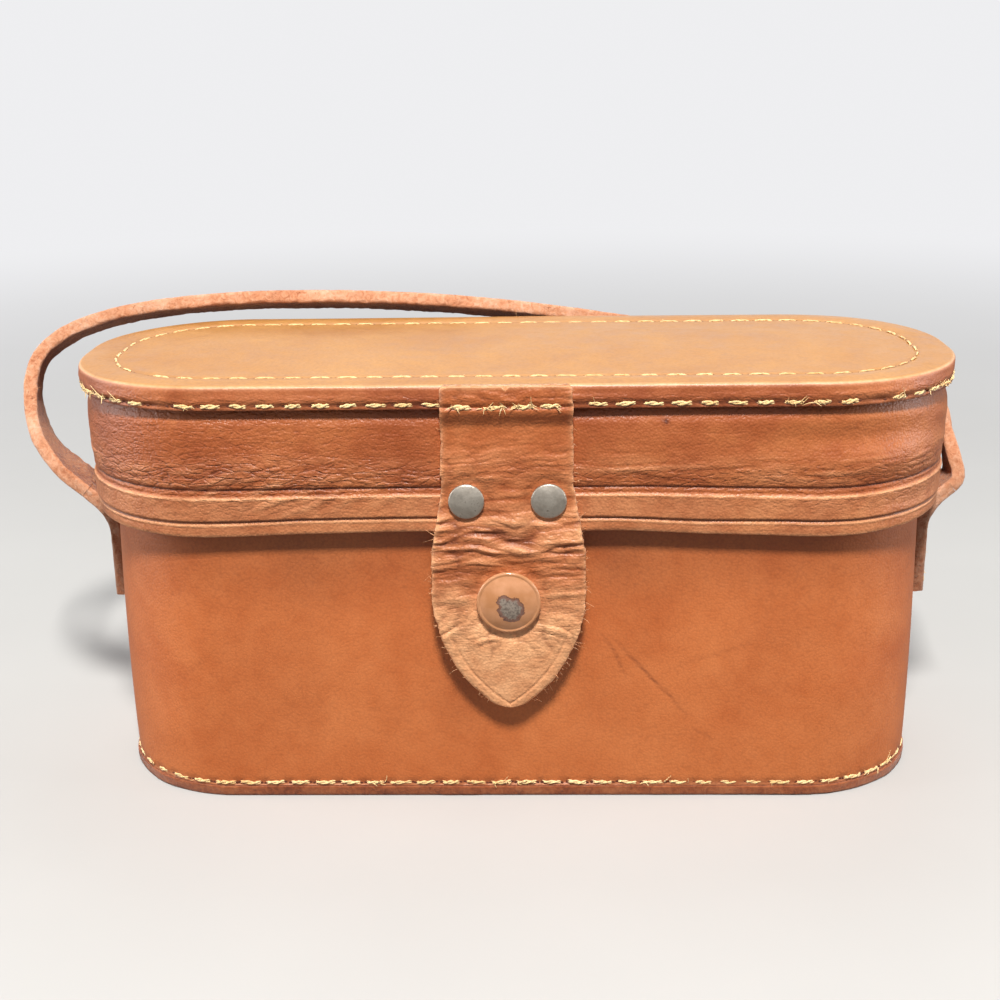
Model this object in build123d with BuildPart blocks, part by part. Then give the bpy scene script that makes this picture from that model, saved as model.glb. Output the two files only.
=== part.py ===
from build123d import *
import math
import os

# A leather camera case with a deep drop-over lid, a riveted closing tab and a sewn carrying strap.
# Millimetres. +Z is up, -Y is the front, +X is the viewer's right.
# The origin is the middle of the underside, where the case rests.

# Outer form: the lid's rolled rim is the widest line of the case
lid_length = 206.0
lid_depth = 79.0
lid_corner = 35.5
case_height = 102.0

# Leather, board and lining
top_leather = 2.0
rim_leather = 1.9
skirt_leather = 2.0
wall_leather = 2.4
base_leather = 2.4
tab_leather = 2.4
strip_leather = 1.4
wall_card = 1.4
flat_card = 1.6
lining_cloth = 0.8
board_clearance = 0.2
pad_felt = 2.0

# Lid: turned-down rim, skirt with two pressed creases, and the skirt's overlap on the body
rim_height = 5.4
rim_roll = 1.8
rim_edge_trim = 0.5
seam_drop = 4.2
skirt_height = 32.4
skirt_edge_trim = 0.7
overlap = 10.4
lid_gap = 2.1
crease_heights = (3.3, 10.6)
crease_width = 0.9
crease_depth = 0.45

# Thread grooves
groove_width = 0.9
groove_depth = 0.4
top_stitch_inset = 8.6
base_stitch_rise = 0.9

# Body
base_lip = 0.5
base_edge_trim = 0.8
wall_edge_trim = 0.6

# Closing tab, a little left of the case's middle; drops are measured down from the skirt's lower edge
tab_x = -1.2
tab_half_top = 14.4
tab_half_bend = 16.1
tab_half_wide = 17.4
tab_rise = 0.3
tab_flare = 11.4
tab_step = 3.6
bend_rise = 2.4
bend_slit = 0.4
tongue_wide_drop = 12.4
tongue_side_drop = 27.5
tongue_side_half = 14.4
tongue_tip_drop = 39.8
tongue_tip_half = 5.9
tongue_curl_drop = 21.6
tongue_curl = 1.5
tongue_end_drop = 43.6

# Rivets
rivet_spread = 18.2
rivet_rise = 8.2
rivet_cap_radius = 4.0
rivet_cap_height = 1.9
rivet_cap_lip = 0.5
rivet_shank_radius = 1.4
rivet_shank_bite = 0.8
rivet_back_height = 0.7

# Press stud
snap_drop = 15.3
cap_radius = 7.25
cap_roll = 0.55
cap_valley = 0.4
cap_valley_drop = 0.25
cap_dome = 2.35
cap_barrel_radius = 1.7
clench_radius = 2.3
clench_height = 0.4
socket_radius = 5.9
socket_back = 0.7
socket_back_radius = 6.4
socket_clearance = 0.35
ball_radius = 2.55
ball_clearance = 0.2
neck_radius = 2.15
ball_rise = 2.1
stud_height = 2.6
stud_flange_radius = 5.6
stud_flange = 0.6
post_barrel_radius = 1.3
post_flange_radius = 5.0
post_flange = 0.6
post_clearance = 0.4
spring_wire = 0.26
spring_rise = 1.35
spring_clearance = 0.12

# Hinge strip on the back
strip_width = 96.0
strip_above = 24.0
strip_below = 27.0
strip_joggle_top = 3.0
strip_joggle_bottom = 10.0
strip_bend = 4.0
strip_slit = 0.4

# Strap
strap_width = 12.0
strap_leather = 3.3
strap_tail = 21.7
strap_turn_drop = 4.9
strap_turn_angle = 38.0
strap_turn_radius = 5.0
strap_end_reach = 8.4
# The free hoop's middle line, each place with the direction of the strap's width there
strap_hoop = [
    ((-108.4, 0.0, 70.31), (0.0, 1.0, 0.0)),
    ((-112.1, 1.8, 73.1), (0.04, 0.99, -0.13)),
    ((-116.7, 5.4, 76.5), (0.09, 0.93, -0.35)),
    ((-120.6, 10.3, 80.7), (0.02, 0.83, -0.56)),
    ((-123.2, 15.8, 86.6), (-0.12, 0.72, -0.68)),
    ((-123.8, 20.9, 92.5), (-0.28, 0.69, -0.66)),
    ((-121.6, 26.8, 97.4), (-0.49, 0.68, -0.55)),
    ((-114.4, 34.7, 101.3), (-0.41, 0.83, -0.38)),
    ((-100.2, 40.7, 104.4), (-0.21, 0.93, -0.31)),
    ((-74.8, 45.4, 106.0), (-0.1, 0.94, -0.31)),
    ((-47.9, 46.7, 105.8), (-0.05, 0.94, -0.32)),
    ((-22.0, 47.8, 104.4), (-0.07, 0.94, -0.33)),
    ((4.0, 49.1, 101.5), (-0.08, 0.94, -0.33)),
    ((30.0, 49.7, 97.6), (-0.05, 0.95, -0.3)),
    ((56.4, 49.6, 93.8), (0.03, 0.96, -0.28)),
    ((79.8, 46.5, 91.1), (0.22, 0.94, -0.27)),
    ((96.4, 38.9, 89.2), (0.5, 0.81, -0.3)),
    ((105.8, 29.0, 87.0), (0.7, 0.57, -0.43)),
    ((108.9, 19.2, 83.8), (0.64, 0.36, -0.68)),
    ((109.0, 11.8, 81.0), (0.44, 0.53, -0.72)),
    ((109.1, 5.5, 78.0), (0.28, 0.8, -0.53)),
    ((109.0, 1.8, 74.6), (0.13, 0.95, -0.27)),
    ((108.3, 0.3, 71.6), (0.06, 0.99, -0.08)),
    ((107.0, 0.0, 69.22), (0.0, 1.0, 0.0)),
]

# Places that follow from the sizes above
top_under = case_height - top_leather
seam_z = case_height - seam_drop
rim_bottom = case_height - rim_height
skirt_bottom = top_under - skirt_height
body_rim = skirt_bottom + overlap

skirt_face = rim_leather
skirt_inside = skirt_face + skirt_leather
wall_face = skirt_inside + lid_gap
wall_inside = wall_face + wall_leather
card_inside = wall_inside + wall_card

skirt_front = lid_depth / 2 - skirt_face
skirt_back_of_front = lid_depth / 2 - skirt_inside
wall_front = lid_depth / 2 - wall_face
wall_end = lid_length / 2 - wall_face
tab_front = skirt_front + tab_leather

bend_z = skirt_bottom + bend_rise
snap_z = skirt_bottom - snap_drop
rivet_z = skirt_bottom + rivet_rise
rivet_xs = (tab_x - rivet_spread / 2, tab_x + rivet_spread / 2)


def case_plan(inset, mode=Mode.ADD):
    """The case's round-cornered plan, drawn in from the rolled rim."""
    RectangleRounded(lid_length - 2 * inset, lid_depth - 2 * inset, lid_corner - inset, mode=mode)


def plan_slab(inset, low, high, mode=Mode.ADD):
    """A slab of the case's plan between two heights."""
    with BuildSketch(Plane.XY.offset(low)) as plan:
        case_plan(inset)
    extrude(plan.sketch, amount=high - low, mode=mode)


def plan_band(outer, inner, low, high, mode=Mode.ADD):
    """A closed band that follows the case's plan between two heights."""
    with BuildSketch(Plane.XY.offset(low)) as plan:
        case_plan(outer)
        case_plan(inner, mode=Mode.SUBTRACT)
    extrude(plan.sketch, amount=high - low, mode=mode)


def front_hole(x, z, radius):
    """A round hole through the front, made from the middle of the case outwards."""
    with BuildSketch(Plane.XZ) as hole:
        with Locations((x, z)):
            Circle(radius)
    extrude(hole.sketch, amount=lid_depth, mode=Mode.SUBTRACT)


def front_turning(x, z, outline, mode=Mode.ADD):
    """A turned piece that points to the front: outline holds (radius, distance from the case's middle)."""
    turning_plane = Plane(origin=(x, 0, z), x_dir=(1, 0, 0), z_dir=(0, 0, -1))
    with BuildSketch(turning_plane) as half_section:
        with BuildLine():
            Polyline(*outline, close=True)
        make_face()
    revolve(half_section.sketch, axis=Axis((x, 0, z), (0, -1, 0)), mode=mode)


def outer_loop(face):
    """The edges round the outside of a flat face."""
    return face.outer_wire().edges()


# Body

with BuildPart() as base_panel:
    plan_slab(wall_face - base_lip, 0, base_leather)
    chamfer(base_panel.faces().sort_by(Axis.Z)[0].edges(), base_edge_trim)
base_panel.part.label = "base_panel"

with BuildPart() as body_wall:
    plan_band(wall_face, wall_inside, base_leather, body_rim)
    chamfer(outer_loop(body_wall.faces().sort_by(Axis.Z)[-1]), wall_edge_trim)
    stitch_z = base_leather + base_stitch_rise
    plan_band(wall_face - 1, wall_face + groove_depth, stitch_z - groove_width / 2,
              stitch_z + groove_width / 2, mode=Mode.SUBTRACT)
    front_hole(tab_x, snap_z, post_barrel_radius)
body_wall.part.label = "body_wall"

with BuildPart() as base_board:
    plan_slab(wall_inside, base_leather, base_leather + flat_card)
base_board.part.label = "base_board"

with BuildPart() as wall_board:
    plan_band(wall_inside, card_inside, base_leather + flat_card, body_rim)
    front_hole(tab_x, snap_z, post_flange_radius + post_clearance)
wall_board.part.label = "wall_board"

with BuildPart() as wall_lining:
    plan_band(card_inside, card_inside + lining_cloth, base_leather + flat_card, body_rim)
wall_lining.part.label = "wall_lining"

with BuildPart() as base_pad:
    plan_slab(card_inside + lining_cloth, base_leather + flat_card, base_leather + flat_card + pad_felt)
base_pad.part.label = "base_pad"

# Lid

with BuildPart() as lid_top:
    plan_slab(0, rim_bottom, case_height)
    plan_slab(skirt_face, rim_bottom, top_under, mode=Mode.SUBTRACT)
    fillet(lid_top.faces().sort_by(Axis.Z)[-1].edges(), rim_roll)
    chamfer(outer_loop(lid_top.faces().sort_by(Axis.Z)[0]), rim_edge_trim)
    plan_band(-1, groove_depth, seam_z - groove_width / 2, seam_z + groove_width / 2, mode=Mode.SUBTRACT)
    plan_band(top_stitch_inset - groove_width / 2, top_stitch_inset + groove_width / 2,
              case_height - groove_depth, case_height + 1, mode=Mode.SUBTRACT)
lid_top.part.label = "lid_top"

with BuildPart() as lid_skirt:
    plan_band(skirt_face, skirt_inside, skirt_bottom, top_under)
    chamfer(outer_loop(lid_skirt.faces().sort_by(Axis.Z)[0]), skirt_edge_trim)
    for crease_height in crease_heights:
        crease_z = skirt_bottom + crease_height
        plan_band(skirt_face - 1, skirt_face + crease_depth, crease_z - crease_width / 2,
                  crease_z + crease_width / 2, mode=Mode.SUBTRACT)
    for rivet_x in rivet_xs:
        front_hole(rivet_x, rivet_z, rivet_shank_radius)
lid_skirt.part.label = "lid_skirt"

with BuildPart() as lid_board:
    plan_slab(skirt_inside + board_clearance, top_under - flat_card, top_under)
lid_board.part.label = "lid_board"

with BuildPart() as lid_lining:
    plan_slab(skirt_inside + board_clearance, top_under - flat_card - lining_cloth, top_under - flat_card)
lid_lining.part.label = "lid_lining"

# Closing tab: one leather, sewn over the rim and riveted to the skirt, and free below the bend

with BuildPart() as closure_tab:
    tab_low = bend_z + bend_slit / 2
    tab_high = case_height + tab_rise
    rim_front = lid_depth / 2
    with BuildSketch(Plane.YZ.offset(tab_x)):
        with BuildLine():
            Polyline(
                (-skirt_front, tab_low),
                (-skirt_front, rim_bottom - tab_step),
                (-rim_front, rim_bottom),
                (-rim_front, tab_high),
                (-rim_front - tab_leather, tab_high),
                (-rim_front - tab_leather, rim_bottom),
                (-tab_front, rim_bottom - tab_step),
                (-tab_front, tab_low),
                close=True,
            )
        make_face()
    extrude(amount=tab_half_wide, both=True)
    with BuildSketch(Plane.XZ):
        with BuildLine():
            Polyline(
                (tab_x - tab_half_bend, tab_low),
                (tab_x - tab_half_top, skirt_bottom + tab_flare),
                (tab_x - tab_half_top, tab_high),
                (tab_x + tab_half_top, tab_high),
                (tab_x + tab_half_top, skirt_bottom + tab_flare),
                (tab_x + tab_half_bend, tab_low),
                close=True,
            )
        make_face()
    extrude(amount=lid_depth, mode=Mode.INTERSECT)
    for rivet_x in rivet_xs:
        front_hole(rivet_x, rivet_z, rivet_shank_radius)
closure_tab.part.label = "closure_tab"

with BuildPart() as closure_tongue:
    tongue_top = bend_z - bend_slit / 2
    curl_z = skirt_bottom - tongue_curl_drop
    end_z = skirt_bottom - tongue_end_drop
    with BuildSketch(Plane.YZ.offset(tab_x)):
        with BuildLine():
            outside = Line((-tab_front, tongue_top), (-tab_front, curl_z))
            outside_curl = TangentArc(outside @ 1, (-tab_front + tongue_curl, end_z), tangent=(0, -1))
            inside = Line((-skirt_front, tongue_top), (-skirt_front, curl_z))
            inside_curl = TangentArc(inside @ 1, (-skirt_front + tongue_curl, end_z), tangent=(0, -1))
            Line(outside @ 0, inside @ 0)
            Line(outside_curl @ 1, inside_curl @ 1)
        make_face()
    extrude(amount=tab_half_wide, both=True)
    wide_z = skirt_bottom - tongue_wide_drop
    side_z = skirt_bottom - tongue_side_drop
    tip_z = skirt_bottom - tongue_tip_drop
    shoulder_z = (tongue_top + wide_z) / 2
    shoulder_half = (tab_half_bend + 3 * tab_half_wide) / 4
    with BuildSketch(Plane.XZ):
        with BuildLine():
            Line((tab_x - tab_half_bend, tongue_top), (tab_x + tab_half_bend, tongue_top))
            for side in (-1, 1):
                ThreePointArc(
                    (tab_x + side * tab_half_bend, tongue_top),
                    (tab_x + side * shoulder_half, shoulder_z),
                    (tab_x + side * tab_half_wide, wide_z),
                )
            ThreePointArc(
                (tab_x - tab_half_wide, wide_z),
                (tab_x - tongue_side_half, side_z),
                (tab_x - tongue_tip_half, tip_z),
            )
            right_side = ThreePointArc(
                (tab_x + tab_half_wide, wide_z),
                (tab_x + tongue_side_half, side_z),
                (tab_x + tongue_tip_half, tip_z),
            )
            TangentArc(right_side @ 1, (tab_x - tongue_tip_half, tip_z), tangent=right_side % 1)
        make_face()
    extrude(amount=lid_depth, mode=Mode.INTERSECT)
    front_hole(tab_x, snap_z, cap_barrel_radius)
closure_tongue.part.label = "closure_tongue"

# Rivets: domed caps outside, shanks with flat backs inside the skirt

with BuildPart() as rivet_caps:
    for rivet_x in rivet_xs:
        dome_plane = Plane(origin=(rivet_x, 0, rivet_z), x_dir=(1, 0, 0), z_dir=(0, 0, -1))
        with BuildSketch(dome_plane):
            with BuildLine():
                foot = Line((rivet_shank_radius, tab_front), (rivet_cap_radius, tab_front))
                lip = Line(foot @ 1, (rivet_cap_radius, tab_front + rivet_cap_lip))
                dome = TangentArc((0, tab_front + rivet_cap_height), lip @ 1, tangent=(1, 0))
                Polyline(
                    dome @ 0,
                    (0, tab_front + rivet_shank_bite),
                    (rivet_shank_radius, tab_front + rivet_shank_bite),
                    foot @ 0,
                )
            make_face()
        revolve(axis=Axis((rivet_x, 0, rivet_z), (0, -1, 0)))
rivet_caps.part.label = "rivet_caps"

with BuildPart() as rivet_posts:
    back_start = skirt_back_of_front - rivet_back_height
    for rivet_x in rivet_xs:
        front_turning(rivet_x, rivet_z, [
            (0, back_start),
            (rivet_cap_radius - rivet_back_height, back_start),
            (rivet_cap_radius, skirt_back_of_front),
            (rivet_shank_radius, skirt_back_of_front),
            (rivet_shank_radius, tab_front + rivet_shank_bite),
            (0, tab_front + rivet_shank_bite),
        ])
rivet_posts.part.label = "rivet_posts"

# Press stud: cap, socket and ring spring on the tongue, stud and post on the body

clench_start = skirt_front - socket_back - clench_height

with BuildPart() as snap_cap:
    cap_plane = Plane(origin=(tab_x, 0, snap_z), x_dir=(1, 0, 0), z_dir=(0, 0, -1))
    roll_centre = cap_radius - cap_roll
    with BuildSketch(cap_plane):
        with BuildLine():
            under = Line((cap_barrel_radius, tab_front), (roll_centre, tab_front))
            roll = Polyline(
                under @ 1,
                (cap_radius, tab_front + cap_roll / 2),
                (cap_radius, tab_front + 1.5 * cap_roll),
                (roll_centre, tab_front + 2 * cap_roll),
            )
            valley = Line(roll @ 1, (roll_centre - cap_valley, tab_front + 2 * cap_roll - cap_valley_drop))
            crown = TangentArc((0, tab_front + cap_dome), valley @ 1, tangent=(1, 0))
            Polyline(
                crown @ 0,
                (0, clench_start),
                (clench_radius, clench_start),
                (clench_radius, clench_start + clench_height),
                (cap_barrel_radius, clench_start + clench_height),
                under @ 0,
            )
        make_face()
    revolve(axis=Axis((tab_x, 0, snap_z), (0, -1, 0)))
snap_cap.part.label = "snap_cap"

with BuildPart() as snap_socket:
    socket_mouth = wall_front + stud_flange + socket_clearance
    socket_bore = ball_radius + ball_clearance
    groove_start = wall_front + spring_rise - spring_wire - spring_clearance
    groove_end = wall_front + spring_rise + spring_wire + spring_clearance
    groove_radius = neck_radius + 2 * spring_clearance + 2 * spring_wire + spring_clearance
    front_turning(tab_x, snap_z, [
        (socket_bore, socket_mouth),
        (socket_radius - 0.5, socket_mouth),
        (socket_radius, socket_mouth + 0.5),
        (socket_radius, skirt_front - socket_back),
        (socket_back_radius, skirt_front - socket_back),
        (socket_back_radius, skirt_front),
        (cap_barrel_radius, skirt_front),
        (cap_barrel_radius, skirt_front - socket_back),
        (clench_radius, skirt_front - socket_back),
        (clench_radius, clench_start),
        (socket_bore, clench_start),
        (socket_bore, groove_end),
        (groove_radius, groove_end),
        (groove_radius, groove_start),
        (socket_bore, groove_start),
    ])
snap_socket.part.label = "snap_socket"

with BuildPart() as snap_spring:
    ring_radius = neck_radius + 2 * spring_clearance + spring_wire
    with BuildSketch(Plane(origin=(tab_x, 0, snap_z), x_dir=(1, 0, 0), z_dir=(0, 0, -1))):
        with Locations((ring_radius, wall_front + spring_rise)):
            RegularPolygon(spring_wire, 8)
    revolve(axis=Axis((tab_x, 0, snap_z), (0, -1, 0)))
snap_spring.part.label = "snap_spring"

with BuildPart() as snap_stud:
    flange_top = wall_front + stud_flange
    front_turning(tab_x, snap_z, [
        (post_barrel_radius, wall_front),
        (stud_flange_radius, wall_front),
        (stud_flange_radius, wall_front + stud_flange / 2),
        (stud_flange_radius - 1.4, flange_top),
        (neck_radius, flange_top),
        (neck_radius, wall_front + spring_rise + spring_wire),
        (ball_radius, wall_front + ball_rise - 0.2),
        (ball_radius, wall_front + ball_rise),
        (ball_radius - 0.5, wall_front + stud_height),
        (0, wall_front + stud_height),
        (0, flange_top),
        (post_barrel_radius, flange_top),
    ])
snap_stud.part.label = "snap_stud"

with BuildPart() as snap_post:
    post_back = wall_front - wall_leather - post_flange
    front_turning(tab_x, snap_z, [
        (0, post_back),
        (post_flange_radius, post_back),
        (post_flange_radius, post_back + post_flange),
        (post_barrel_radius, post_back + post_flange),
        (post_barrel_radius, flange_top),
        (0, flange_top),
    ])
snap_post.part.label = "snap_post"

# Hinge strip: one leather on the outside of the back, split at its bend

with BuildPart() as hinge_strip_upper:
    with BuildSketch(Plane.YZ):
        with Locations((skirt_front + strip_leather / 2, skirt_bottom + (strip_slit + strip_above) / 2)):
            Rectangle(strip_leather, strip_above - strip_slit)
    extrude(amount=strip_width / 2, both=True)
hinge_strip_upper.part.label = "hinge_strip_upper"

with BuildPart() as hinge_strip_lower:
    on_wall = wall_front + strip_leather / 2
    on_skirt = skirt_front + strip_leather / 2
    with BuildLine() as strip_line:
        FilletPolyline(
            (0, on_wall, skirt_bottom - strip_below),
            (0, on_wall, skirt_bottom - strip_joggle_bottom),
            (0, on_skirt, skirt_bottom - strip_joggle_top),
            (0, on_skirt, skirt_bottom),
            radius=strip_bend,
        )
    with BuildSketch(Plane(origin=strip_line.line @ 0, x_dir=(1, 0, 0), z_dir=(0, 0, 1))):
        Rectangle(strip_width, strip_leather)
    sweep(path=strip_line.line)
hinge_strip_lower.part.label = "hinge_strip_lower"

# Strap: a sewn tail on each end of the body that turns out under the skirt, and the free hoop between them

turn = math.radians(strap_turn_angle)
tail_x = wall_end + strap_leather / 2
turn_z = skirt_bottom - strap_turn_drop
strap_exit = (tail_x + strap_end_reach * math.cos(turn), turn_z + strap_end_reach * math.sin(turn))


def strap_end(side):
    """The tail on one end wall, swept with its width along the case's depth."""
    with BuildLine() as tail_line:
        FilletPolyline(
            (side * tail_x, 0, turn_z - strap_tail),
            (side * tail_x, 0, turn_z),
            (side * strap_exit[0], 0, strap_exit[1]),
            radius=strap_turn_radius,
        )
    with BuildSketch(Plane(origin=tail_line.line @ 0, x_dir=(0, 1, 0), z_dir=(0, 0, 1))) as section:
        Rectangle(strap_width, strap_leather)
    sweep(section.sketch, path=tail_line.line)


with BuildPart() as strap_end_left:
    strap_end(-1)
strap_end_left.part.label = "strap_end_left"

with BuildPart() as strap_end_right:
    strap_end(1)
strap_end_right.part.label = "strap_end_right"



def strap_stations(parts):
    """Places along the free hoop with their forward and width directions; it touches each leg at its middle."""
    knots = [(Vector(-strap_exit[0], 0, strap_exit[1]), Vector(0, 1, 0))]
    knots += [(Vector(*place), Vector(*across)) for place, across in strap_hoop]
    knots += [(Vector(strap_exit[0], 0, strap_exit[1]), Vector(0, 1, 0))]
    joins = [tuple((a + b) * 0.5 for a, b in zip(one, other)) for one, other in zip(knots, knots[1:])]
    joins[0] = knots[0]
    joins[-1] = knots[-1]
    stations = []
    for index in range(1, len(knots) - 1):
        before, corner, after = joins[index - 1], knots[index], joins[index]
        last = index == len(knots) - 2
        for step in range(parts + last):
            share = step / parts
            place, across = (
                a * (1 - share) ** 2 + b * (2 * share * (1 - share)) + c * share ** 2
                for a, b, c in zip(before, corner, after)
            )
            forward = ((corner[0] - before[0]) * (1 - share) + (after[0] - corner[0]) * share).normalized()
            across = (across - forward * across.dot(forward)).normalized()
            stations.append((place, forward, across))
    return stations


with BuildPart() as carry_strap:
    for place, forward, across in strap_stations(1):
        with BuildSketch(Plane(origin=place, x_dir=across, z_dir=forward)):
            Rectangle(strap_width, strap_leather)
    loft()
carry_strap.part.label = "carry_strap"

fine_places = [place for place, forward, across in strap_stations(12)]
strap_length = sum((b - a).length for a, b in zip(fine_places, fine_places[1:]))
print("strap free length", round(strap_length, 1),
      "volume share", round(carry_strap.part.volume / (strap_length * strap_width * strap_leather), 3))

# One STEP file for each piece

pieces = [
    base_panel, body_wall, base_board, wall_board, wall_lining, base_pad,
    lid_top, lid_skirt, lid_board, lid_lining,
    closure_tab, closure_tongue, rivet_caps, rivet_posts,
    snap_cap, snap_socket, snap_spring, snap_stud, snap_post,
    hinge_strip_upper, hinge_strip_lower,
    strap_end_left, strap_end_right, carry_strap,
]
os.makedirs("parts", exist_ok=True)
for piece in pieces:
    export_step(piece.part, f"parts/{piece.part.label}.step")
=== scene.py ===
import math

import bmesh
import bpy
import numpy as np
from mathutils import Matrix, Vector


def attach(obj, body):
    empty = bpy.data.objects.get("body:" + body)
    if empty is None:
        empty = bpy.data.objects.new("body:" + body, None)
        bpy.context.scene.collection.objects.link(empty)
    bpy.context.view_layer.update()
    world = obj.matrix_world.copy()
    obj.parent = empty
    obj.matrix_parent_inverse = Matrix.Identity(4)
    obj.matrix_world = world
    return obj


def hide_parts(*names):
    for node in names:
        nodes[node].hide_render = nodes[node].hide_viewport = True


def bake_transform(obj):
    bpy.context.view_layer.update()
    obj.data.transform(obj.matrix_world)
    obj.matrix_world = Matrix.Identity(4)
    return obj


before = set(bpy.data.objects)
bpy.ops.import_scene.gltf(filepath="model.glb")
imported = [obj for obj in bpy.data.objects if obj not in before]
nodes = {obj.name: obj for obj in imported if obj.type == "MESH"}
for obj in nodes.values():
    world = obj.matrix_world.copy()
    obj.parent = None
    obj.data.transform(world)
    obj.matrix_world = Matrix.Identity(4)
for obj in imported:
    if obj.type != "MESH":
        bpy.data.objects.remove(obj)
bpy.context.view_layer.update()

# The viewpoint. The case was seen from about 38 cm away, a little above the lid and right of its middle,
# so the top panel shows as a narrow oval and the front nearly square on.
mm = 0.001
aim = Vector((-4.0, 0.0, 63.4)) * mm
aim_distance = 377.0 * mm
aim_turn = math.radians(1.66)
aim_drop = math.radians(17.56)
aim_roll = math.radians(-0.86)
lens_on_36mm = 54.76

viewpoint = bpy.data.objects.new("viewpoint", bpy.data.cameras.new("viewpoint"))
bpy.context.scene.collection.objects.link(viewpoint)
viewpoint.data.lens = lens_on_36mm
viewpoint.data.sensor_width = 36.0
viewpoint.data.clip_start = 0.01
viewpoint.matrix_world = (
    Matrix.Translation(aim)
    @ Matrix.Rotation(aim_turn, 4, "Z")
    @ Matrix.Rotation(math.pi / 2 - aim_drop, 4, "X")
    @ Matrix.Rotation(aim_roll, 4, "Z")
    @ Matrix.Translation((0, 0, aim_distance))
)
bpy.context.scene.camera = viewpoint


# The carrying strap: one thick strip of belt leather, 12 mm wide and 3.3 mm thick, cut from the hide and
# left raw at its edges. It is sewn to both ends of the body and has taken the set of a hoop behind the lid.
strap_width = 12.0
strap_thick = 3.3
strap_corner = 0.7
# The hoop from left to right, as places on its middle line and the way across its flat side
strap_hoop = [
    ((-105.28, 0.0, 67.88), (0.0, 1.0, 0.0)),
    ((-108.4, 0.0, 70.31), (0.0, 1.0, 0.0)),
    ((-112.1, 1.8, 73.1), (0.04, 0.99, -0.13)),
    ((-116.7, 5.4, 76.5), (0.09, 0.93, -0.35)),
    ((-120.6, 10.3, 80.7), (0.02, 0.83, -0.56)),
    ((-123.2, 15.8, 86.6), (-0.12, 0.72, -0.68)),
    ((-123.8, 20.9, 92.5), (-0.28, 0.69, -0.66)),
    ((-121.6, 26.8, 97.4), (-0.49, 0.68, -0.55)),
    ((-114.4, 34.7, 101.3), (-0.41, 0.83, -0.38)),
    ((-100.2, 40.7, 104.4), (-0.21, 0.93, -0.31)),
    ((-74.8, 45.4, 106.0), (-0.1, 0.94, -0.31)),
    ((-47.9, 46.7, 105.8), (-0.05, 0.94, -0.32)),
    ((-22.0, 47.8, 104.4), (-0.07, 0.94, -0.33)),
    ((4.0, 49.1, 101.5), (-0.08, 0.94, -0.33)),
    ((30.0, 49.7, 97.6), (-0.05, 0.95, -0.3)),
    ((56.4, 49.6, 93.8), (0.03, 0.96, -0.28)),
    ((79.8, 46.5, 91.1), (0.22, 0.94, -0.27)),
    ((95.8, 38.9, 89.2), (0.5, 0.81, -0.3)),
    ((103.6, 29.0, 87.0), (0.7, 0.57, -0.43)),
    ((105.8, 19.2, 83.6), (0.64, 0.36, -0.68)),
    ((105.8, 11.8, 80.6), (0.44, 0.53, -0.72)),
    ((106.0, 5.5, 77.4), (0.28, 0.8, -0.53)),
    ((106.4, 1.8, 74.0), (0.13, 0.95, -0.27)),
    ((107.1, 0.3, 70.6), (0.06, 0.99, -0.08)),
    ((106.45, 0.0, 68.79), (0.0, 1.0, 0.0)),
    ((105.28, 0.0, 67.88), (0.0, 1.0, 0.0)),
]
tail_places = [(98.65, 0.0, 41.0), (98.65, 0.0, 51.0), (98.65, 0.0, 62.7), (105.28, 0.0, 67.88)]


def colour(hex_text):
    """An sRGB hex value as a linear colour."""
    parts = [int(hex_text[k:k + 2], 16) / 255 for k in (0, 2, 4)]
    return tuple(c / 12.92 if c <= 0.04045 else ((c + 0.055) / 1.055) ** 2.4 for c in parts) + (1.0,)


def feed(node, inputs):
    """Sets a node's sockets. A value that is a node, or one of its outputs, is linked in."""
    for socket, value in inputs.items():
        if isinstance(value, bpy.types.Node):
            value = next(output for output in value.outputs if output.enabled)
        if isinstance(value, bpy.types.NodeSocket):
            node.id_data.links.new(value, node.inputs[socket])
        else:
            node.inputs[socket].default_value = value


def put(tree, kind, inputs=(), stops=(), **settings):
    """Adds one node with its settings and inputs, and a colour ramp's stops as (place, hex value)."""
    made = tree.nodes.new("ShaderNode" + kind)
    for key, value in settings.items():
        setattr(made, key, value)
    for k, (place, hex_text) in enumerate(stops):
        stop = made.color_ramp.elements[k] if k < 2 else made.color_ramp.elements.new(place)
        stop.position = place
        stop.color = colour(hex_text)
    feed(made, dict(inputs))
    return made


def new_finish(name):
    """An empty material: its tree, its surface shader, and a place on the piece in millimetres."""
    finish = bpy.data.materials.new(name)
    finish.use_nodes = True
    tree = finish.node_tree
    place = put(tree, "TexCoord").outputs["Object"]
    return finish, tree, tree.nodes["Principled BSDF"], put(tree, "VectorMath", {0: place, 3: 1 / mm},
                                                            operation="SCALE")


def clouds(points, size, seed=0):
    """Smooth random heights from -1 to 1 at points in millimetres, with lumps of about that size."""
    grid = np.asarray(points, float) / size + 91.7
    cell = np.floor(grid).astype(np.int64)
    part = grid - cell
    ease = part * part * (3 - 2 * part)
    total = np.zeros(len(grid))
    for corner in np.ndindex(2, 2, 2):
        key = (cell + corner) @ np.array([374761393, 668265263, 2147483629]) + seed * 974634777
        key = ((key ^ (key >> 13)) * 1274126177) & 0x7FFFFFFFFFFF
        key = ((key ^ (key >> 16)) * 668265263) & 0x7FFFFFFFFFFF
        height = ((key >> 20) & 0xFFFF) / 32767.5 - 1
        total += height * np.prod(np.where(corner, ease, 1 - ease), axis=1)
    return total


def pillows(points, size, seed=0):
    """Rounded swellings with sharp valleys between them, from 0 in a valley to about 1."""
    return np.abs(clouds(points, size, seed))


def bump(values, middle, spread):
    """A soft hill of height 1."""
    return np.exp(-((values - middle) / spread) ** 2)


def ease_between(values, low, high):
    """0 below low, 1 above high, and smooth between them."""
    share = np.clip((values - low) / (high - low), 0, 1)
    return share * share * (3 - 2 * share)


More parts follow.
